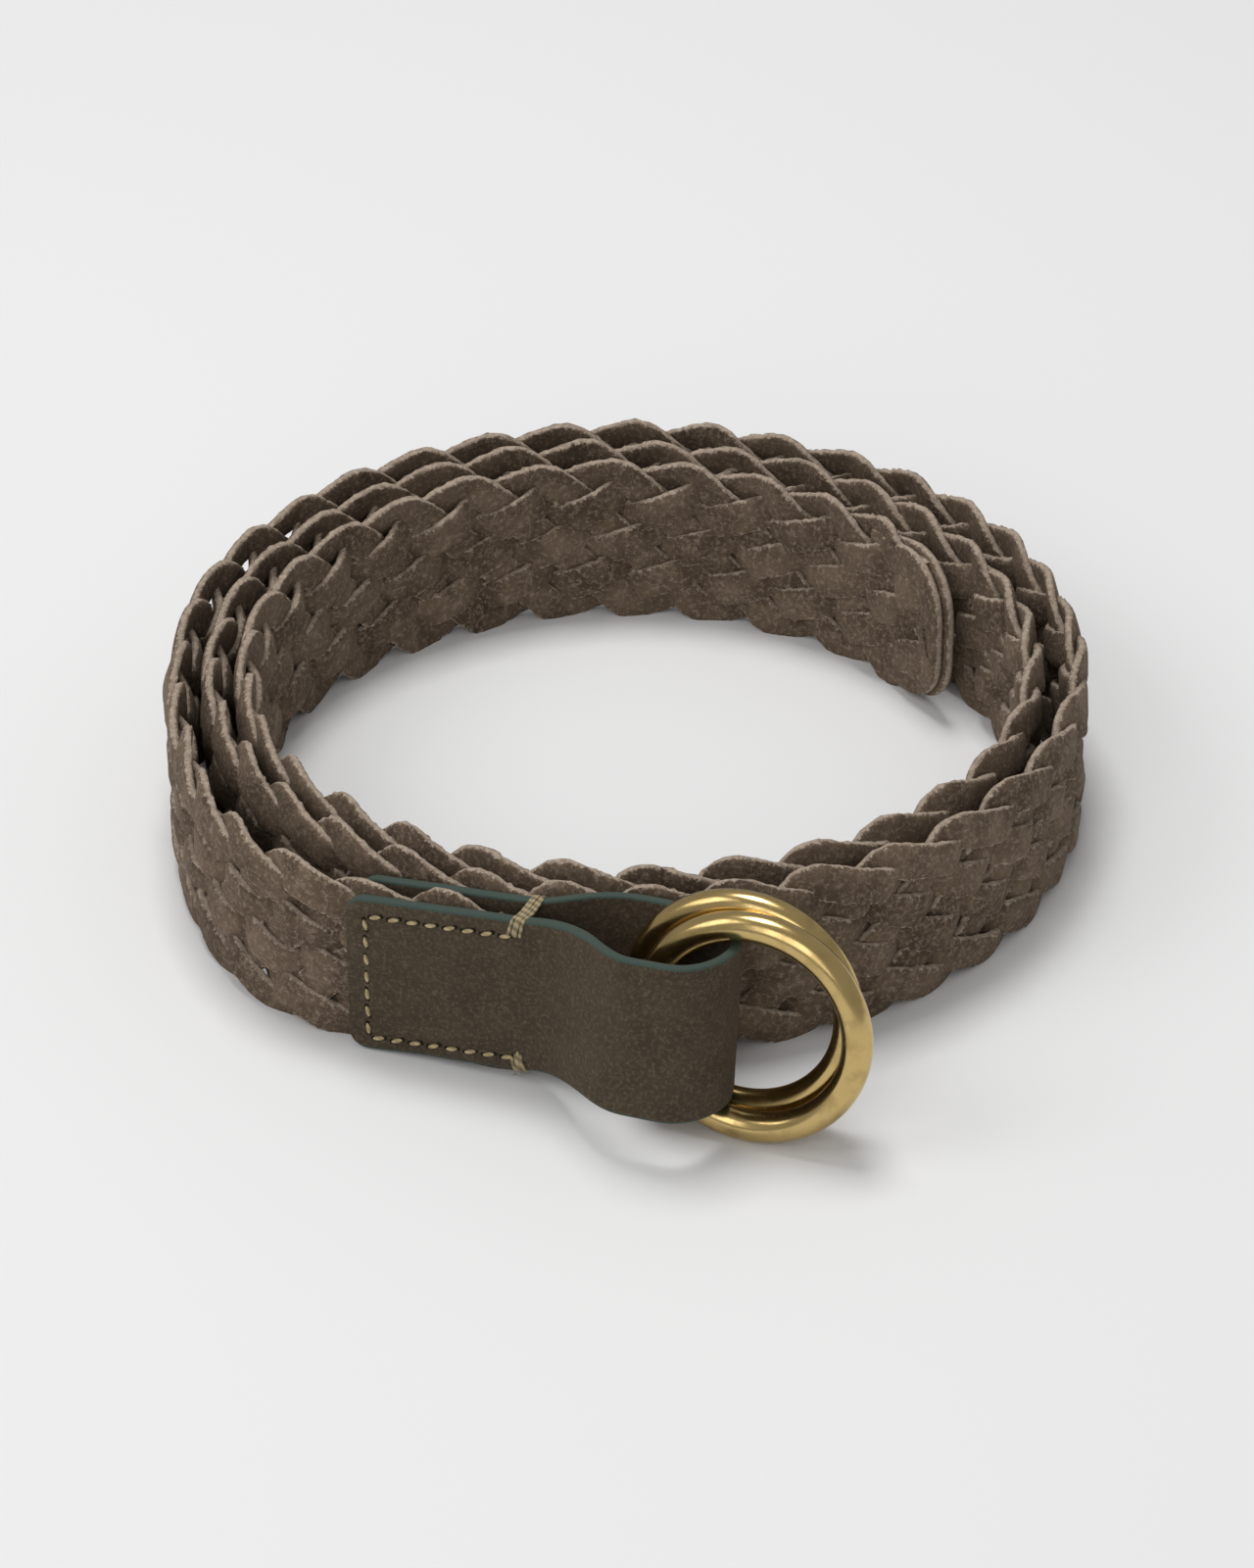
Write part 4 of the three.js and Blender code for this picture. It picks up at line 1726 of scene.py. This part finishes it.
    def spun(
        self,
        name: str,
        lines: Sequence[np.ndarray],
        thickness: float,
        tree: bpy.types.NodeTree,
    ) -> bpy.types.Mesh:
        """Sweeps round thread along lines.

        Args:
            name: The mesh's name.
            lines: The lines in millimetres.
            thickness: The thread's thickness.
            tree: The sweep tree.

        Returns:
            The baked mesh.
        """
        ahead = self.line.tab_direction(1.0, 0.0, 0.0)
        facing = [square_to(unit(np.gradient(line, axis=0)), ahead[None]) for line in lines]
        return grow(name, wire_object([line * MM for line in lines], {"facing": facing}), tree, {
            "Width": thickness * MM,
            "Thickness": thickness * MM,
            "Squareness": 1.0,
            "Sides": 8,
            "Material": self.finishes.tack,
        })

    def frayed_end(self, rng: np.random.Generator, side: float) -> np.ndarray:
        """Runs one loose fibre off a bar tack.

        Args:
            rng: The seeded source.
            side: 1 for the upper edge and -1 for the lower.

        Returns:
            The fibre's points in the row frame, in millimetres.
        """
        share = np.linspace(0, 1, 10)[:, None]
        along = self.line.tab_end - self.line.tab.tack + rng.uniform(-0.8, 1.2)
        out = self.line.leaf_outside * rng.choice([1.0, -0.6])
        start = np.array([along, out, rng.uniform(-1.5, 0.3)])
        way = rng.uniform([-0.8, 0.0, -0.2], [1.6, 0.7, 0.9]) * [1.0, np.sign(out), 1.0]
        curl = rng.uniform([-0.5, -0.2, -0.6], [0.5, 0.3, 0.3])
        line = start + way * share + curl * share**2
        height = np.maximum(self.edge_height(line[:, 0], side) + side * line[:, 2], 0.2)
        return self.line.tab_place(line[:, 0], line[:, 1], height)


def joined(first: bpy.types.Mesh, second: bpy.types.Mesh) -> bpy.types.Mesh:
    """Adds a mesh to another that has the same material.

    Args:
        first: The mesh that is kept.
        second: The mesh that is added and deleted.

    Returns:
        The first mesh, with both.
    """
    whole = bmesh.new()
    whole.from_mesh(first)
    whole.from_mesh(second)
    whole.to_mesh(first)
    whole.free()
    bpy.data.meshes.remove(second)
    return first


@dataclass
class RingPair:
    """The two equal brass rings that fasten the belt."""

    line: BeltLine
    tab: Tab
    ring: RingSizes
    finishes: Finishes
    around: int = 160
    wire_sides: int = 48

    def build(self) -> None:
        """Makes both rings where the frame has them."""
        lean = math.radians(self.ring.lean)
        axis = self.line.tab_direction(0.0, math.cos(lean), math.sin(lean))
        upward = self.line.tab_direction(0.0, -math.sin(lean), math.cos(lean))
        sideways = self.line.tab_direction(1.0, 0.0, 0.0)
        for node in ("ring_front", "ring_rear"):
            low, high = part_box(node)
            centre = np.array((low + high) / 2) / MM
            round_ring = np.linspace(0, 2 * math.pi, self.around, endpoint=False)
            round_wire = np.linspace(0, 2 * math.pi, self.wire_sides, endpoint=False)
            spoke = np.outer(np.cos(round_ring), sideways) + np.outer(np.sin(round_ring), upward)
            reach = self.tab.ring_radius + self.ring.wire / 2 * np.cos(round_wire)
            depth = np.outer(self.ring.wire / 2 * np.sin(round_wire), axis)
            points = centre + spoke[:, None] * reach[None, :, None] + depth[None]
            index = np.arange(self.around * self.wire_sides).reshape(self.around, self.wire_sides)
            ahead, beside = np.roll(index, -1, 0), np.roll(index, -1, 1)
            both = np.roll(ahead, -1, 1)
            faces = np.stack([index, beside, both, ahead], -1).reshape(-1, 4).tolist()
            if turns_inside_out(points):
                faces = [face[::-1] for face in faces]
            piece = mesh_object(f"{node}_brass", points, faces, {}, self.finishes.brass)
            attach(piece, node)
            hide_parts(node)
            log.info("%s: %d faces", piece.name, len(faces))


@dataclass
class Studio:
    """The pale floor, the soft light and the camera."""

    target: Tuple[float, float, float] = (-0.0004, 0.0084, 0.0065)
    eye: Tuple[float, float, float] = (-0.0004, -0.7639, 0.5138)
    lens: float = 122.9
    floor_reach: float = 6.0
    floor_colour: Colour = (0.80, 0.80, 0.80, 1.0)
    world_strength: float = 0.37
    lamp_target: Tuple[float, float, float] = (0.0, 0.0, 0.02)

    def build(self) -> None:
        """Makes them all."""
        self.floor()
        self.light()
        self.camera()

    def floor(self) -> None:
        """Lays the floor just under the belt."""
        mesh = bpy.data.meshes.new("floor")
        r = self.floor_reach
        mesh.from_pydata([(-r, -r, 0), (r, -r, 0), (r, r, 0), (-r, r, 0)], [], [(0, 1, 2, 3)])
        material, tree, shader, _ = material_tree("floor_pale")
        pale = {"Base Color": self.floor_colour, "Roughness": 1.0, "Specular IOR Level": 0.0}
        dress(tree, shader, pale)
        mesh.materials.append(material)
        link_object("floor", mesh)

    def light(self) -> None:
        """Sets the studio's pale surroundings and its large soft lamps."""
        world = bpy.data.worlds.new("studio")
        bpy.context.scene.world = world
        world.use_nodes = True
        background = world.node_tree.nodes["Background"]
        background.inputs["Color"].default_value = (1.0, 1.0, 1.0, 1.0)
        background.inputs["Strength"].default_value = self.world_strength
        for name, place, size, power in (
            ("key", (-0.12, 0.3, 1.4), 0.5, 10.3),
            ("side", (-0.9, -0.2, 0.9), 0.6, 2.5),
            ("front", (-0.3, -1.2, 0.8), 0.9, 5.0),
        ):
            lamp = bpy.data.lights.new(name, "AREA")
            lamp.size = size
            lamp.energy = power
            self.aim(link_object(name, lamp), place, self.lamp_target)
        bpy.context.scene.view_settings.view_transform = "Standard"

    @staticmethod
    def aim(piece: bpy.types.Object, place: Sequence[float], target: Sequence[float]) -> None:
        """Puts a lamp or a camera at its place and points it at a target."""
        piece.location = place
        piece.rotation_mode = "QUATERNION"
        piece.rotation_quaternion = (Vector(target) - Vector(place)).to_track_quat("-Z", "Y")

    def camera(self) -> None:
        """Places the camera."""
        data = bpy.data.cameras.new("camera")
        data.lens = self.lens
        data.sensor_width = 36.0
        data.clip_start, data.clip_end = 0.05, 30.0
        camera = link_object("camera", data)
        self.aim(camera, self.eye, self.target)
        bpy.context.scene.camera = camera


def main() -> None:
    """Builds the belt round its frame, piece by piece."""
    logging.basicConfig(level=logging.INFO, format="%(name)s %(message)s")
    Studio().build()
    finishes = Finishes()
    line = BeltLine(StrapSizes(), TabSizes(), frame["joints"])
    sweep = sweep_tree()
    plait = Plait(line, finishes)
    plait.build(sweep)
    plait.assemble()
    TipBinding(line, plait).build(sweep)
    tab = Tab(line, RingSizes(), finishes)
    tab.build()
    sewing = Sewing(line, tab, finishes)
    sewing.build_stitches(stitch_tree())
    sewing.build_tacks(sweep)
    RingPair(line, tab, RingSizes(), finishes).build()


if __name__ == "__main__":
    main()
